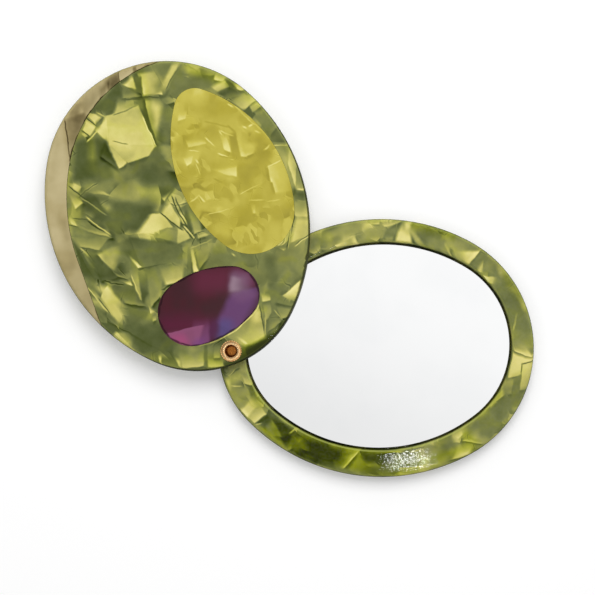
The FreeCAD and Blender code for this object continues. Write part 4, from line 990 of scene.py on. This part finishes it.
RING_FOLDS = traced((
    (MELT, .42, .46, -17.7, 30.1, -14.3, 30.8, -12.6, 27.9, -17.9, 25),
    (MELT, .56, .64, -14.3, 30.8, -9.5, 31.9, -8.9, 29.7, -12.4, 27.9),
    (VEIL, .36, .42, -11.4, 28.8, -8.9, 29.9, -8.9, 28.9, -10.9, 28),
    (MELT, .54, .62, -9.5, 32.4, -2.7, 33.8, -4.3, 29.9, -8.9, 29.9),
    (MELT, .6, .56, -3.4, 32.1, 2.7, 32.5, 2.9, 28.8, -3.6, 28.5),
    (CRISP, .64, .9, -6.5, 29.2, -5.8, 27.4, -10.2, 26.7, -10.7, 27.2),
    (CRISP, .56, .84, -2.5, 33.2, 1.2, 33.9, 1.2, 32.9, -.5, 32.8),
    (VEIL, .4, .46, 2.9, 31.2, 5.8, 31.8, 5.7, 29.8, 3, 30),
    (VEIL, .66, .8, 2.7, 29.5, 4.9, 29.8, 4.9, 28.3, 3, 28.3),
    (CRISP, .6, .88, 1.6, 33.2, 6.7, 34, 6.7, 33.5, 2.6, 32.2),
    (MELT, .46, .4, 3.1, 31.8, 6.8, 32.9, 5.4, 29.6, 3.1, 29.9),
    (MELT, .58, .52, 8.8, 32.6, 13.5, 32.6, 15.5, 31, 9.4, 29.8),
    (MELT, .38, .4, 12.3, 30.8, 18.1, 30.2, 17.5, 26.6, 13.1, 26.3),
    (VEIL, .94, .9, 9.8, 27.2, 5.2, 28.1, 6.7, 32.7, 9.1, 31.3),
    (VEIL, .92, .8, 7.5, 33.3, 9.3, 33.2, 9.1, 30.7, 8, 30.7),
    (VEIL, .72, .66, 8.8, 31.3, 10.3, 31.3, 13.1, 27.1, 11.4, 26.6),
    (VEIL, .6, .56, 17.8, 30.1, 20.1, 29.2, 19.7, 24, 17.2, 25.2),
    (VEIL, .44, .5, 14.3, 29.2, 18.6, 29.2, 18.9, 24.9, 13.7, 25.2),
    (SLIVER, .6, .74, .52, 18.47, 27.76, 20.17, 23.98),
    (MELT, .54, .6, 19.8, 29.5, 24.4, 28.3, 22.9, 23.1, 20.5, 24),
    (FOLD, .84, .96, 22.2, 25.7, 22.9, 22.8, 24.8, 21.9, 27.9, 25.8),
    (VEIL, .4, .46, 25.2, 22.1, 28.7, 25.4, 31.2, 22.8, 27.8, 20.2),
    (SLIVER, .7, .88, 26.91, 20.19, 28.6, 22.93, 28.7, 21.34, 28.2, 19.75),
    (VEIL, .44, .4, 28.9, 20.2, 32.1, 22.2, 32.9, 17.9, 30.3, 19),
    (CRISP, .72, .92, 31.8, 18.7, 31.5, 16.6, 29.6, 16.9, 28.3, 18.9),
    (MELT, .36, .38, 31.5, 16.4, 34.8, 17.8, 36.3, 11.8, 33.2, 12.4),
    (MELT, .56, .6, 34.7, 17.6, 38.1, 15.8, 40.1, 10.6, 36.9, 10.3),
    (MELT, .34, .4, 34.3, 11.8, 37.2, 10.6, 37.4, 5.1, 35.7, 5.2),
    (MELT, .44, .4, 37.2, 10, 40.9, 10.3, 42.1, 3.1, 37.1, 4.6),
    (VEIL, .36, .38, 32, 15.8, 37.2, 14.1, 41.7, 3.1, 36, 3.1),
    (SLIVER, .44, .66, .52, 37.6, 9.18, 36.54, 4.14),
    (MELT, .42, .48, 35.8, 4, 42.1, 3.7, 42.1, -.1, 36.1, .5),
    (FOLD, .8, .95, 36, .8, 40, .2, 41.9, -3.2, 36.4, -1.2),
    (SLIVER, .22, .26, .49, 36.35, -1.23, 41.78, -3.22),
    (CRISP, 1, .79, 42.1, -3.1, 36.1, -1.4, 34.8, -8.3, 38.3, -7.4),
    (CRISP, .86, .66, 39, -4.5, 41.9, -3.7, 40, -11.1, 37.7, -11.3),
    (SLIVER, .26, .3, .35, 42.08, -3.65, 38.82, -4.5),
    (SLIVER, .34, .4, .34, 38.82, -4.49, 38.45, -6.88),
    (CRISP, .44, .36, 37.8, -12.5, 36.1, -12.8, 36, -8.4, 38.5, -7),
    (CRISP, .66, .44, 33.7, -8.9, 36.3, -8.4, 35.9, -12.6, 33.2, -12.7),
    (MELT, .38, .42, 37.5, -11.6, 39.8, -11.1, 37.8, -15.6, 34.9, -15.3),
    (VEIL, .3, .36, 33.8, -12.7, 36, -12.8, 34.9, -15.6, 31.8, -16.2),
    (MELT, .4, .46, 30.6, -15.6, 35.2, -14.2, 34.9, -17.9, 30.9, -21.1),
    (MELT, .38, .42, 27.1, -19.3, 30.3, -17.3, 30.9, -20.5, 27.4, -23.9),
    (MELT, .52, .48, 23.4, -21, 27.7, -18.2, 27.1, -22.2, 23.7, -24.2),
    (VEIL, .42, .4, 29.7, -22.8, 33.8, -18.5, 35.2, -18.2, 30.5, -23.9),
    (VEIL, .4, .38, 33.7, -13, 37, -13.9, 30, -25.4, 24.8, -21.3),
    (SLIVER, .8, .66, 33.68, -11.17, 33.95, -12.75, 26.87, -18.17, 26.3, -17.59),
    (VEIL, .4, .36, 15.6, -23.9, 19.7, -22.2, 20.2, -24.7, 16.8, -25.9),
    (CRISP, .62, .9, 19.6, -23, 22.2, -21, 22.9, -23.2, 21.6, -24.5),
    (MELT, .36, .34, 15.6, -25.9, 20.2, -23.9, 21.3, -25.9, 17.9, -28.5),
    (CRISP, .6, .82, 23.9, -24.2, 28, -25.3, 27.7, -25.7, 22.8, -24.9),
    (SLIVER, .2, .26, .37, 22.56, -25.1, 27.8, -25.8),
    (FOLD, .86, .84, 21.6, -25.9, 25.6, -26.3, 24.5, -28.5, 19.6, -29.9),
    (MELT, .56, .6, 19.6, -26.7, 21.9, -26.5, 19.3, -30.2, 15, -31.6),
    (VEIL, .22, .52, 3.8, -28.4, 4.4, -32.4, 12.4, -31.3, 11.9, -27.3),
    (MELT, .48, .52, 12.1, -27.3, 17.3, -26.4, 17.9, -29.3, 13.3, -30.2),
    (VEIL, .66, .78, 6.4, -32.7, 17.3, -30.3, 13.8, -32.7, 8.1, -33.9),
    (SLIVER, .72, .8, .29, -.5, -27.98, 6.68, -27.61),
    (SLIVER, .1, .14, .29, 6.11, -28.12, 9.56, -27.86),
    (SLIVER, .8, .7, .29, 8.98, -27.79, 12.15, -26.89),
    (SLIVER, .7, .84, .29, 3.21, -32.25, 8.09, -31.92),
    (SLIVER, .84, .7, .34, 8.09, -32.03, 16.15, -30.8),
    (MELT, .1, .06, -4.2, -28, 3.1, -27.8, 3.1, -30.5, -3.2, -30.5),
    (VEIL, .3, .34, -4.5, -31.3, 5.8, -30.5, 5.7, -34, -4.5, -34),
    (MELT, .02, .04, -19.4, -23.9, -13.2, -25.3, -9.7, -29.1, -17.8, -28.8),
    (VEIL, .2, .28, -20.5, -27.2, -17, -28.9, -9.9, -31.8, -13.5, -31.8),
    (MELT, .08, .04, -13.2, -26.1, -8.6, -26.7, -9.9, -30.7, -12.1, -29.4),
    (VEIL, .06, .1, -17, -27.2, -11.8, -27.7, -11, -31.8, -15.9, -31.2),
    (VEIL, .56, .48, -8, -31.8, -4.8, -27.8, -2.6, -31.3, -5.4, -33.7),
    (FOLD, .4, .7, -11, -31.8, -9.1, -28.3, -5, -27.5, -8.7, -32.1),
    (SLIVER, .84, .9, .38, -8.72, -31.67, -4.72, -27.45),
    (MELT, .4, .34, -23.2, -25, -19.4, -23.7, -18.6, -26.4, -21.8, -27.7),
    (VEIL, .7, .6, -21.7, -23.2, -19.8, -24.1, -21.3, -25.4),
    (VEIL, .05, 0, -27.8, -18.5, -25.6, -19, -22.1, -22, -25.3, -23.1),
    (VEIL, .08, .05, -25.6, -23.1, -22.1, -22.3, -22.9, -25, -24.3, -26.3),
    (SLIVER, .7, .8, .43, -22.95, -22.62, -21.12, -21.08),
    (CRISP, .5, .4, -29.9, -21.2, -27.6, -19, -24.9, -23.5, -27.8, -23.4),
    (VEIL, .54, .64, -31.3, -20.6, -29.4, -21.5, -24, -26.3, -26.7, -25.2),
    (VEIL, .14, .08, -32.1, -19.5, -28.3, -17.1, -27.8, -19, -30.2, -20.9),
    (SLIVER, .8, .7, .38, -32.24, -20.22, -30.61, -19.95),
    (VEIL, .32, .38, -34.2, -10.1, -32.3, -10.3, -31.5, -14.1, -33.4, -13.9),
    (CRISP, .62, .86, -35.1, -17.6, -31, -14.9, -29.1, -17.4, -32.5, -19.9),
    (FOLD, .74, .94, -33.3, -13, -31, -15.2, -34.5, -18.5, -36.2, -16),
    (VEIL, .5, .58, -39.9, -10, -34.2, -9.9, -33.7, -13.6, -38.3, -13.8),
    (VEIL, .56, .5, -38, -13.8, -33.8, -13.8, -35.7, -16.1),
    (VEIL, .6, .66, -40.3, -8.1, -36.4, -6, -35.6, -9, -39.9, -9.8),
    (VEIL, .58, .64, -36.4, -3, -34.2, -3, -33.4, -8.2, -36, -6.8),
    (CRISP, .52, .82, -36, -6.5, -33.5, -7.3, -32.7, -9.9, -35, -9.2),
    (VEIL, .46, .44, -41, -5.1, -36.1, -4.1, -36.2, -6, -39.4, -7.3),
    (VEIL, .74, .84, -40.2, -8.4, -38.8, -8.1, -38.6, -11.4, -39.4, -10.8),
    (SLIVER, .22, .26, .43, -38.84, -6.84, -36.33, -5.22),
    (SLIVER, .7, .74, .27, -39.11, -7.18, -37.75, -5.84),
    (SLIVER, .84, .74, .33, -38.3, -9.93, -35.8, -9.94),
    (SLIVER, .26, .3, .33, -34.9, -9.46, -32.74, -10.33),
))
COVER_POOLS = traced((
    (MELT, .9, 1, -36, .8, -25.4, 4.4, -25.5, -.6, -35.6, -4),
    (MELT, .4, .5, -61.1, -1.7, -53.2, -1.3, -51.4, -5.8, -61.1, -3.9),
    (MELT, .5, .8, -44.9, -1.2, -40.4, -1.4, -40.2, -5, -44.9, -5.4),
    (MELT, .6, .4, -76.6, 56.6, -74.5, 56.6, -72.6, 46.1, -76.4, 46.6),
    (MELT, .8, .5, -50.6, 76, -35.4, 69.9, -36.5, 68.3, -50.1, 72.8),
    (MELT, .6, .4, -34.4, 67.5, -29.2, 64.7, -30, 62.5, -34.4, 65.3),
    (MELT, .5, .6, -63.5, 74.6, -61.2, 74.6, -57.4, 53.1, -60.7, 53.6),
))
RING_POOLS = traced((
    (MELT, .8, 1, -28.8, -17.7, -20.5, -22.3, -22.4, -27.7, -27.8, -23.9),
    (MELT, 1, 1, -22.3, -21.8, 3.1, -26.7, 3, -34.8, -23.5, -28.8),
    (VEIL, .9, .9, -31.6, -21.2, -29.9, -20.4, -23.5, -26.6, -25.1, -27.1),
    (MELT, .7, .7, -34.2, -9.8, -31.5, -10.3, -28.8, -15.8, -31.5, -15.8),
    (MELT, 1, .7, -1.6, -26.4, 6.4, -26.4, 6.9, -35, -1.7, -35),
    (VEIL, .9, .9, 2.9, -31.8, 25.4, -25.3, 26.5, -27.1, 6.3, -34.7),
    (MELT, .8, .7, 33, -11, 34.1, -12.7, 27.1, -19, 23.1, -21.3),
    (MELT, .8, .8, 21.9, -23, 24.3, -21.3, 27.1, -25.9, 23.1, -26.5),
    (VEIL, .9, .9, 9.1, 34.2, 21.8, 30.3, 21.2, 28.6, 9.1, 31.9),
    (VEIL, .7, .7, 33.8, 20.7, 40.1, 11.8, 38.6, 11.8, 33.8, 17.8),
    (VEIL, .8, .8, 12, 27.5, 30.9, 17, 30.3, 15.8, 12, 25.8),
))
PURPLE_FOLDS = traced((
    (SMOKE, .8, .9, -48.6, 20.7, -38.5, 21.8, -38.5, 15.1, -48.6, 15.1),
    (SMOKE, .6, .95, -57.4, 9.6, -41.7, 8.2, -44.5, 4.6, -57, 4.4),
    (MELT, .6, .8, -38.5, 21.4, -33, 20.7, -31, 16.3, -34.6, 16.1),
    (VEIL, .9, .9, -42.1, 6.6, -37.9, 14.9, -30.6, 16.1, -35.6, 3.6),
    (MELT, .8, .9, -41.7, 7.4, -38.1, 7.8, -37.3, 3.8, -41.9, 2.2),
    (MELT, .8, .8, -44.5, 7, -41.7, 7.8, -41.7, 2.8, -45.3, 1.6),
    (MELT, .7, .5, -37.3, 13.9, -31.6, 14.7, -31.6, 13.3, -36.9, 12.3),
    (MELT, .8, .5, -38.5, 14.3, -38.5, 19.9, -33, 19.5, -33, 14.7),
    (VEIL, .8, .1, -38.3, 15.1, -37.9, 18.7, -34.6, 18.3, -34.6, 15.3),
    (VEIL, .8, .6, -48, 0, -43.6, 0, -44.2, 7, -48.4, 5.9),
    (FOLD, .9, .8, -55.8, 0, -47.2, 0, -45.6, 6.5, -55.5, 4),
    (MELT, .6, .9, -55, 3.8, -51.2, 4.2, -49.4, .8, -53.2, 1),
    (MELT, .6, .9, -48.6, 2.4, -44.5, 3, -45.7, 1, -48.6, .6),
))
PURPLE_TINTS = ("642A3E", "5D203A", "6E3755", "6A4470", "594B7E", "55284C", "785074",
                "82607A", "A38B98", "7E4870", "8E5273", "A44C76", "78457E")


def tint(code: str) -> Colour:
    """Linear colour of a display colour.

    Args:
        code: Six hexadecimal digits.

    Returns:
        Red, green and blue: each share s is s / 12.92 below 0.04045, else ((s + 0.055) / 1.055) to the 2.4.
    """
    shares = np.frombuffer(bytes.fromhex(code), np.uint8) / 255.0
    linear = np.where(shares < 0.04045, shares / 12.92, ((shares + 0.055) / 1.055) ** 2.4)
    return tuple(float(item) for item in linear)


def palette(stops: dict[float, str]) -> Palette:
    """Colour scale from display colours by position."""
    return tuple((position, tint(code)) for position, code in stops.items())


SHARP_ANGLE = math.radians(40.0)


def put_mesh(name: str, points: np.ndarray, faces: list[list[int]]) -> bpy.types.Object:
    """Object at the origin from points in millimetres.

    Args:
        name: Name of the piece.
        points: Array of places, one row each.
        faces: Corners of each face, anticlockwise seen from outside.

    Returns:
        The object, smooth up to edges of the sharp angle.
    """
    mesh = bpy.data.meshes.new(name)
    mesh.from_pydata((points * MM).tolist(), [], faces)
    mesh.shade_smooth()
    mesh.set_sharp_from_angle(angle=SHARP_ANGLE)
    piece = bpy.data.objects.new(name, mesh)
    bpy.context.scene.collection.objects.link(piece)
    return piece


def lathe(rings: np.ndarray, start: np.ndarray, end: np.ndarray | None) -> tuple[np.ndarray, list[list[int]]]:
    """Points and faces of a grid of rings that closes in a pole at its start and, if given, at its end.

    Args:
        rings: Array of rings, places in each ring and coordinates.
        start: Pole before the first ring.
        end: Pole after the last ring, or none for an open rim.

    Returns:
        The points and the faces; the rings run so that faces look outwards.
    """
    count, around = rings.shape[:2]
    poles = [start] if end is None else [start, end]
    points = np.concatenate([rings.reshape(-1, 3), np.array(poles)])
    here = np.arange(count * around).reshape(count, around)
    beside = np.roll(here, -1, axis=1)
    quads = np.stack([here[:-1], beside[:-1], beside[1:], here[1:]], axis=-1).reshape(-1, 4)
    pole = np.full(around, count * around)
    faces = quads.tolist() + np.stack([pole, beside[0], here[0]], axis=-1).tolist()
    if end is not None:
        faces += np.stack([pole + 1, here[-1], beside[-1]], axis=-1).tolist()
    return points, faces


def dress(node: str, material: bpy.types.Material) -> None:
    """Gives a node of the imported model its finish."""
    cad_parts[node].material_slots[0].material = material
    LOG.info("%s wears %s", node, material.name)


GREEN_PALETTE = palette({0.0: "28310A", 0.1: "434D18", 0.24: "5A6238", 0.42: "7B804B", 0.62: "A3A258",
                         0.82: "D1C972", 1.0: "EEE498"})
CLEAR_PALETTE = palette({0.0: "2A3000", 0.1: "3C4400", 0.24: "555D02", 0.42: "6E7604", 0.62: "9AA022",
                         0.82: "C4C44A", 1.0: "E8E394"})
YELLOW_PALETTE = palette({0.0: "978C34", 0.35: "B5A942", 0.65: "CCC158", 1.0: "EDE698"})
BEIGE_PALETTE = palette({0.0: "2E260C", 0.12: "5E5334", 0.32: "867952", 0.6: "B2A477", 0.85: "C5B78B",
                         1.0: "D2C89E"})
# Each finish has its pearl scale, a grey for dull patches, the walls' deep colour, which is partly painted shade,
# and the painted sheen of turning edges.
GREEN = (GREEN_PALETTE, tint("8C8C80"), tint("161D00"), tint("B4BC62"))
BEIGE = (BEIGE_PALETTE, tint("8E8A80"), tint("4A4420"), tint("A6A252"))
YELLOW = (YELLOW_PALETTE, tint("A0A080"), tint("8C8020"), tint("B8AE40"))
# Painted shade in the seam round the purple inlay's border.
BORDER_SHADE = tint("240E16")
BORDER_SHADE_INSET, BORDER_SHADE_OUTSET, BORDER_SHADE_TONE, BORDER_SHADE_PIECES = 0.3, 0.2, 0.8, 28
# Painted shade along the crescent's inner seam.
SEAM_INSET, SEAM_OUTSET, SEAM_TONE, SEAM_PIECES = 0.27, 0.15, 0.0, 12
TOP_DEPTH = 0.01


def ribbon(inner: np.ndarray, outer: np.ndarray, tone: float) -> tuple[Fold, ...]:
    """Thin line between two rows of places in millimetres, as short straight pieces of one tone.

    Args:
        inner: Places along its inner side.
        outer: Places along its outer side, as many.
        tone: Tone of every piece.

    Returns:
        A narrow fold for each piece.
    """
    quads = zip(inner.tolist(), outer.tolist(), outer[1:].tolist(), inner[1:].tolist())
    return tuple(Fold(corners, tone, tone, SLIVER) for corners in quads)


def border_shade_line(node: str) -> tuple[Fold, ...]:
    """Thin line of painted shade along the border of a node's top face.

    Each corner of the face has an angle about its middle and a distance from it. The border's distance at even
    angles is read between those of the corners.

    Args:
        node: Name of the node; all corners of its top face lie on the border.

    Returns:
        A narrow fold for each piece of the line.
    """
    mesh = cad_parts[node].data
    flat = np.empty(3 * len(mesh.vertices))
    mesh.vertices.foreach_get("co", flat)
    points = flat.reshape(-1, 3) / MM
    top = points[points[:, 2] > points[:, 2].max() - TOP_DEPTH, :2]
    middle = (top.min(axis=0) + top.max(axis=0)) / 2
    spread = top - middle
    angle = np.linspace(-np.pi, np.pi, BORDER_SHADE_PIECES + 1)[:, None]
    reach = np.interp(angle, np.arctan2(spread[:, 1], spread[:, 0]), np.hypot(*spread.T), period=2.0 * np.pi)
    direction = np.concatenate([np.cos(angle), np.sin(angle)], axis=-1)
    return ribbon(middle + (reach - BORDER_SHADE_INSET) * direction, middle + (reach + BORDER_SHADE_OUTSET) * direction,
                  BORDER_SHADE_TONE)


def seam(centre: Pair, radius: float, first: float, last: float) -> tuple[Fold, ...]:
    """Thin line of painted shade along an arc where two parts meet, as short straight pieces.

    Args:
        centre: Middle of the arc, in millimetres.
        radius: Its radius, in millimetres.
        first: Angle at which it starts, in degrees.
        last: Angle at which it ends, in degrees.

    Returns:
        A narrow fold for each piece.
    """
    angle = np.radians(np.linspace(first, last, SEAM_PIECES + 1))
    reach = np.stack([np.cos(angle), np.sin(angle)], axis=-1)
    middle = np.array(centre)
    return ribbon(middle + (radius - SEAM_INSET) * reach, middle + (radius + SEAM_OUTSET) * reach, SEAM_TONE)


@dataclass
class MirrorBase:
    """Frame that lies on the table: back plate, ring, glass and what holds them."""

    acetate: PearlAcetate = PearlAcetate(
        "ring_pearl", *GREEN, RING_FOLDS, CLEAR_PALETTE, RING_POOLS, shift=(31.0, 17.0, 0.0), fold_size=7.5,
        contrast=0.5, slope=1.2, crease=0.16, ripple=0.0036, ripple_size=0.5, grain=0.57, face=4.5)
    glass: SilveredGlass = SilveredGlass()
    tape: PlainSheet = PlainSheet("foam_tape", tint("D8D8D2"), tint("BFBFB8"), 0.8, 0.8)
    nylon: PlainSheet = PlainSheet("nylon", tint("E8E7DF"), tint("D3D2C8"), 1.5, 0.45)
    body: Body = Body.BASE

    def build(self) -> None:
        """Dresses the base's own pieces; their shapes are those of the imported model."""
        ring = self.acetate.material()
        dress("frame_ring", ring)
        dress("back_plate", ring)
        dress("mirror_glass", self.glass.material())
        dress("mirror_adhesive", self.tape.material())
        dress("friction_washer", self.nylon.material())
        LOG.info("%s is dressed", self.body.value)


@dataclass
class Cover:
    """Cover that turns about the rivet, with its three inlays, each in its own acetate."""

    plate: PearlAcetate = PearlAcetate(
        "cover_pearl", *GREEN, COVER_FOLDS, CLEAR_PALETTE, COVER_POOLS, contrast=0.45, slope=1.0, crease=0.2,
        rim_shade=1.0)
    crescent: PearlAcetate = PearlAcetate(
        # The seam adds painted shade along the crescent's inner arc.
        "crescent_pearl", *BEIGE, CRESCENT_FOLDS + seam((-47.54, 43.63), 34.0, 108.0, 169.0),
        shift=(5.0, 40.0, 0.0), fold_size=24.0, sliver_size=30.0, middle=0.72, contrast=0.2, slope=0.3,
        crease=0.0)
    large: PearlAcetate = PearlAcetate(
        "large_oval_pearl", *YELLOW, LARGE_FOLDS, shift=(12.0, -8.0, 0.0), fold_size=6.0, sliver_size=3.5,
        middle=0.45, contrast=0.30, slope=0.7, crease=0.10)
    body: Body = Body.COVER

    def build(self) -> None:
        """Dresses the cover and its inlays; the purple one has a line of painted shade round its border."""
        clouds = tuple(zip(PURPLE_FOLDS, map(tint, PURPLE_TINTS)))
        # Painted shade round the border, where the inlay meets the plate.
        clouds += tuple((fold, BORDER_SHADE) for fold in border_shade_line("small_oval_inlay"))
        small = SmokedAcetate("small_oval_smoke", tint("43252A"), tint("4B222A"), clouds)
        dress("cover_plate", self.plate.material())
        dress("crescent_inlay", self.crescent.material())
        dress("large_oval_inlay", self.large.material())
        dress("small_oval_inlay", small.material())
        LOG.info("%s is dressed", self.body.value)


@dataclass
class PivotRivet:
    """Semi-tubular rivet with its rim rolled over the clinch washer; sizes in millimetres."""

    axis: Pair = (-38.35, -0.65)
    head_low: float = 0.05
    head_crown: float = 0.2
    head_top: float = 0.85
    head_radius: float = 2.6
    head_break: float = 0.06
    shank_radius: float = 2.05
    bore_radius: float = 1.55
    bore_floor: float = 4.2
    bore_clear: float = 0.2
    floor_rings: Triple = (0.3, 0.8, 1.3)
    wall_rings: int = 9
    seat: float = 8.3
    roll_radius: float = 2.55
    roll_height: float = 0.498
    roll_rings: int = 25
    crown_rings: int = 10
    crown_pole: float = 0.1
    crimps: int = 22
    crimp_depth: float = 0.024
    crimp_start: float = 0.35
    crimp_aside: float = 0.5
    segments: int = 176
    washer_mouth: float = 8.0

    def profile(self) -> np.ndarray:
        """Half section from the bore's floor over the rolled rim and down to the head.

        The rim is close to a half circle from the bore to the roll's outer lip; the head's underside is a flat
        dome whose drop grows with the square of the radius.

        Returns:
            Rows of radius, height and the share of the crimp marks, which lie on the rim's outer side.
        """
        middle = (self.roll_radius + self.bore_radius) / 2
        half = (self.roll_radius - self.bore_radius) / 2
        turn = np.linspace(np.pi, 0.0, self.roll_rings)
        rim = np.stack([middle + half * np.cos(turn), self.seat + self.roll_height * np.sin(turn),
                        np.clip(self.crimp_start + np.cos(turn), 0.0, 1.0)], axis=-1)
        crown = np.linspace(1.0, self.crown_pole, self.crown_rings)
        head = np.stack([self.head_radius * crown, self.head_low + self.head_crown * crown ** 2,
                         0.0 * crown], axis=-1)
        floor = np.array([[radius, self.bore_floor] for radius in self.floor_rings])
        rise = np.linspace(self.bore_floor, self.seat - self.bore_clear, self.wall_rings)
        wall = np.stack([np.full(self.wall_rings, self.bore_radius), rise], axis=-1)
        shank = np.array([[self.shank_radius, self.seat], [self.shank_radius, self.head_top],
                          [self.head_radius - self.head_break, self.head_top],
                          [self.head_radius, self.head_top - self.head_break]])
        floor, wall, shank = [np.pad(part, ((0, 0), (0, 1))) for part in (floor, wall, shank)]
        return np.concatenate([floor, wall, rim, shank, head])

    def build(self) -> None:
        """Turns the profile about the rivet's axis, with shallow crimp marks round the rim, and dresses it.

        At each angle the rim sinks by the crimp depth times the square of (1 + cos(crimps x angle)) / 2.
        """
        x, y = self.axis
        radius, height, share = self.profile().T[:, :, None]
        angle = np.linspace(0.0, 2.0 * np.pi, self.segments, endpoint=False)[None, :]
        mark = share * self.crimp_depth * ((1.0 + np.cos(self.crimps * angle)) / 2.0) ** 2
        reach = radius - self.crimp_aside * mark
        rings = np.stack([x + reach * np.cos(angle), y + reach * np.sin(angle), height - mark + 0.0 * angle],
                         axis=-1)
        floor, crown = np.array([[x, y, self.bore_floor], [x, y, self.head_low]])
        rivet = put_mesh("rolled_rivet", *lathe(rings, floor, crown))
        # Its third and fourth colours are painted shade in the bore.
        copper = RivetCopper("rivet_copper", tint("FFDEA8"), tint("FCBC7C"), tint("4E2008"), tint("B87434"),
                             self.axis)
        rivet.data.materials.append(copper.material())
        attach(rivet, Body.BASE.value)
        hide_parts("pivot_rivet")
        LOG.info("%s rides on %s", rivet.name, Body.BASE.value)
        # The washer's third colour is painted shade below its mouth.
        washer = RivetCopper("washer_copper", tint("FFD294"), tint("D89C5C"), tint("A86E38"), tint("A86E38"),
                             self.axis, self.washer_mouth)
        dress("clinch_washer", washer.material())


@dataclass
class Lamp:
    """Rectangular lamp that faces a target; sizes in millimetres, power in watts."""

    name: str
    place: Triple
    target: Triple
    size: Pair
    power: float
    mirrored: bool

    def build(self) -> None:
        """Hangs the lamp; polished faces show it only if it is to be mirrored."""
        data = bpy.data.lights.new(self.name, "AREA")
        data.shape = "RECTANGLE"
        data.size, data.size_y = (side * MM for side in self.size)
        data.energy = self.power
        lamp = bpy.data.objects.new(self.name, data)
        lamp.location = Vector(self.place) * MM
        aim = (Vector(self.target) - Vector(self.place)).to_track_quat("-Z", "Y")
        lamp.rotation_euler = aim.to_euler()
        lamp.visible_glossy = self.mirrored
        bpy.context.scene.collection.objects.link(lamp)


@dataclass
class Studio:
    """White table, soft light from beyond the top of the picture, and the camera almost straight above."""

    camera_place: Triple = (-14.916, 1.71, 417.29)
    camera_turn: Triple = (1.629, 0.823, -0.299)
    lens: float = 93.85
    sensor: float = 36.0
    clip_start: float = 0.01
    floor_radius: float = 6000.0
    floor_level: float = -0.1
    floor_start: float = 0.05
    floor_rings: int = 24
    floor_segments: int = 96
    paper: tuple[Colour, Colour] = ((0.86, 0.86, 0.86), (0.88, 0.88, 0.88))
    paper_size: float = 60.0
    paper_glow: float = 0.2
    ambient: float = 0.55
    across: Triple = (0.45, 0.9, 0.0)
    across_step: tuple[float, ...] = (-0.10, 0.07, 0.8, 1.0)
    beside: Triple = (1.0, -1.0, 0.0)
    beside_step: tuple[float, ...] = (-0.133, -0.043, 0.4, 1.0)
    lamps: tuple[Lamp, ...] = (
        Lamp("softbox", (40.0, 330.0, 560.0), (-20.0, 10.0, 0.0), (420.0, 420.0), 2.3, False),
        Lamp("strip", (44.6, -78.0, 640.0), (44.6, -78.0, 0.0), (28.0, 4.5), 0.042, True),
    )

    def floor(self) -> None:
        """Flat disc of rings whose radii grow as the square of their number, of paper that glows a little."""
        radius = (np.linspace(self.floor_start, 1.0, self.floor_rings) ** 2 * self.floor_radius)[:, None]
        angle = np.linspace(0.0, -2.0 * np.pi, self.floor_segments, endpoint=False)[None, :]
        rings = np.stack([radius * np.cos(angle), radius * np.sin(angle),
                          self.floor_level + 0.0 * radius * angle], axis=-1)
        table = put_mesh("table", *lathe(rings, np.array([0.0, 0.0, self.floor_level]), None))
        material, graph = new_graph("white_table")
        mottle = graph.noise(graph.place(), self.paper_size)
        paper = graph.shader("ShaderNodeBsdfDiffuse", graph.blend(mottle, *self.paper))
        strength = graph.math("MULTIPLY", self.seen(graph), self.paper_glow)
        glow = graph.shader("ShaderNodeEmission", WHITE, strength)
        both = graph.shader("ShaderNodeAddShader", paper, glow)
        graph.feed(graph.node("ShaderNodeOutputMaterial").inputs[0], both)
        table.data.materials.append(material)

    @staticmethod
    def seen(graph: Graph) -> Socket:
        """1 for rays from the camera, and for those that it sees by reflection or through glass."""
        path = graph.node("ShaderNodeLightPath").outputs
        either = graph.math("MAXIMUM", path["Is Camera Ray"], path["Is Glossy Ray"])
        return graph.math("MAXIMUM", either, path["Is Transmission Ray"])

    def world(self) -> None:
        """Even light all round; what the mirror shows is white, greyer to the near left and the far left."""
        world = bpy.data.worlds.new("studio")
        bpy.context.scene.world = world
        world.use_nodes = True
        graph = Graph(world.node_tree)
        direction = graph.node("ShaderNodeTexCoord").outputs["Generated"]
        across = graph.ease(graph.vector("DOT_PRODUCT", direction, self.across), *self.across_step)
        beside = graph.ease(graph.vector("DOT_PRODUCT", direction, self.beside), *self.beside_step)
        light = graph.shader("ShaderNodeBackground", WHITE, self.ambient)
        view = graph.shader("ShaderNodeBackground", WHITE, graph.math("MULTIPLY", across, beside))
        both = graph.shader("ShaderNodeMixShader", self.seen(graph), light, view)
        graph.feed(graph.node("ShaderNodeOutputWorld").inputs[0], both)

    def camera(self) -> None:
        """Camera that looks down, tilted very slightly, with the top of the picture towards +Y."""
        data = bpy.data.cameras.new("camera")
        data.lens = self.lens
        data.sensor_width = self.sensor
        data.clip_start = self.clip_start
        camera = bpy.data.objects.new("camera", data)
        camera.location = Vector(self.camera_place) * MM
        camera.rotation_euler = [math.radians(angle) for angle in self.camera_turn]
        bpy.context.scene.collection.objects.link(camera)
        bpy.context.scene.camera = camera

    def build(self) -> None:
        """Sets up the table, the light and the camera."""
        self.floor()
        self.world()
        for lamp in self.lamps:
            lamp.build()
        self.camera()
        bpy.context.scene.view_settings.view_transform = "Standard"
        LOG.info("studio is set")


def main() -> None:
    """Builds the sub-assemblies in order, then the studio."""
    logging.basicConfig(level=logging.INFO, format="%(name)s: %(message)s")
    for assembly in (MirrorBase(), Cover(), PivotRivet(), Studio()):
        assembly.build()


if __name__ == "__main__":
    main()
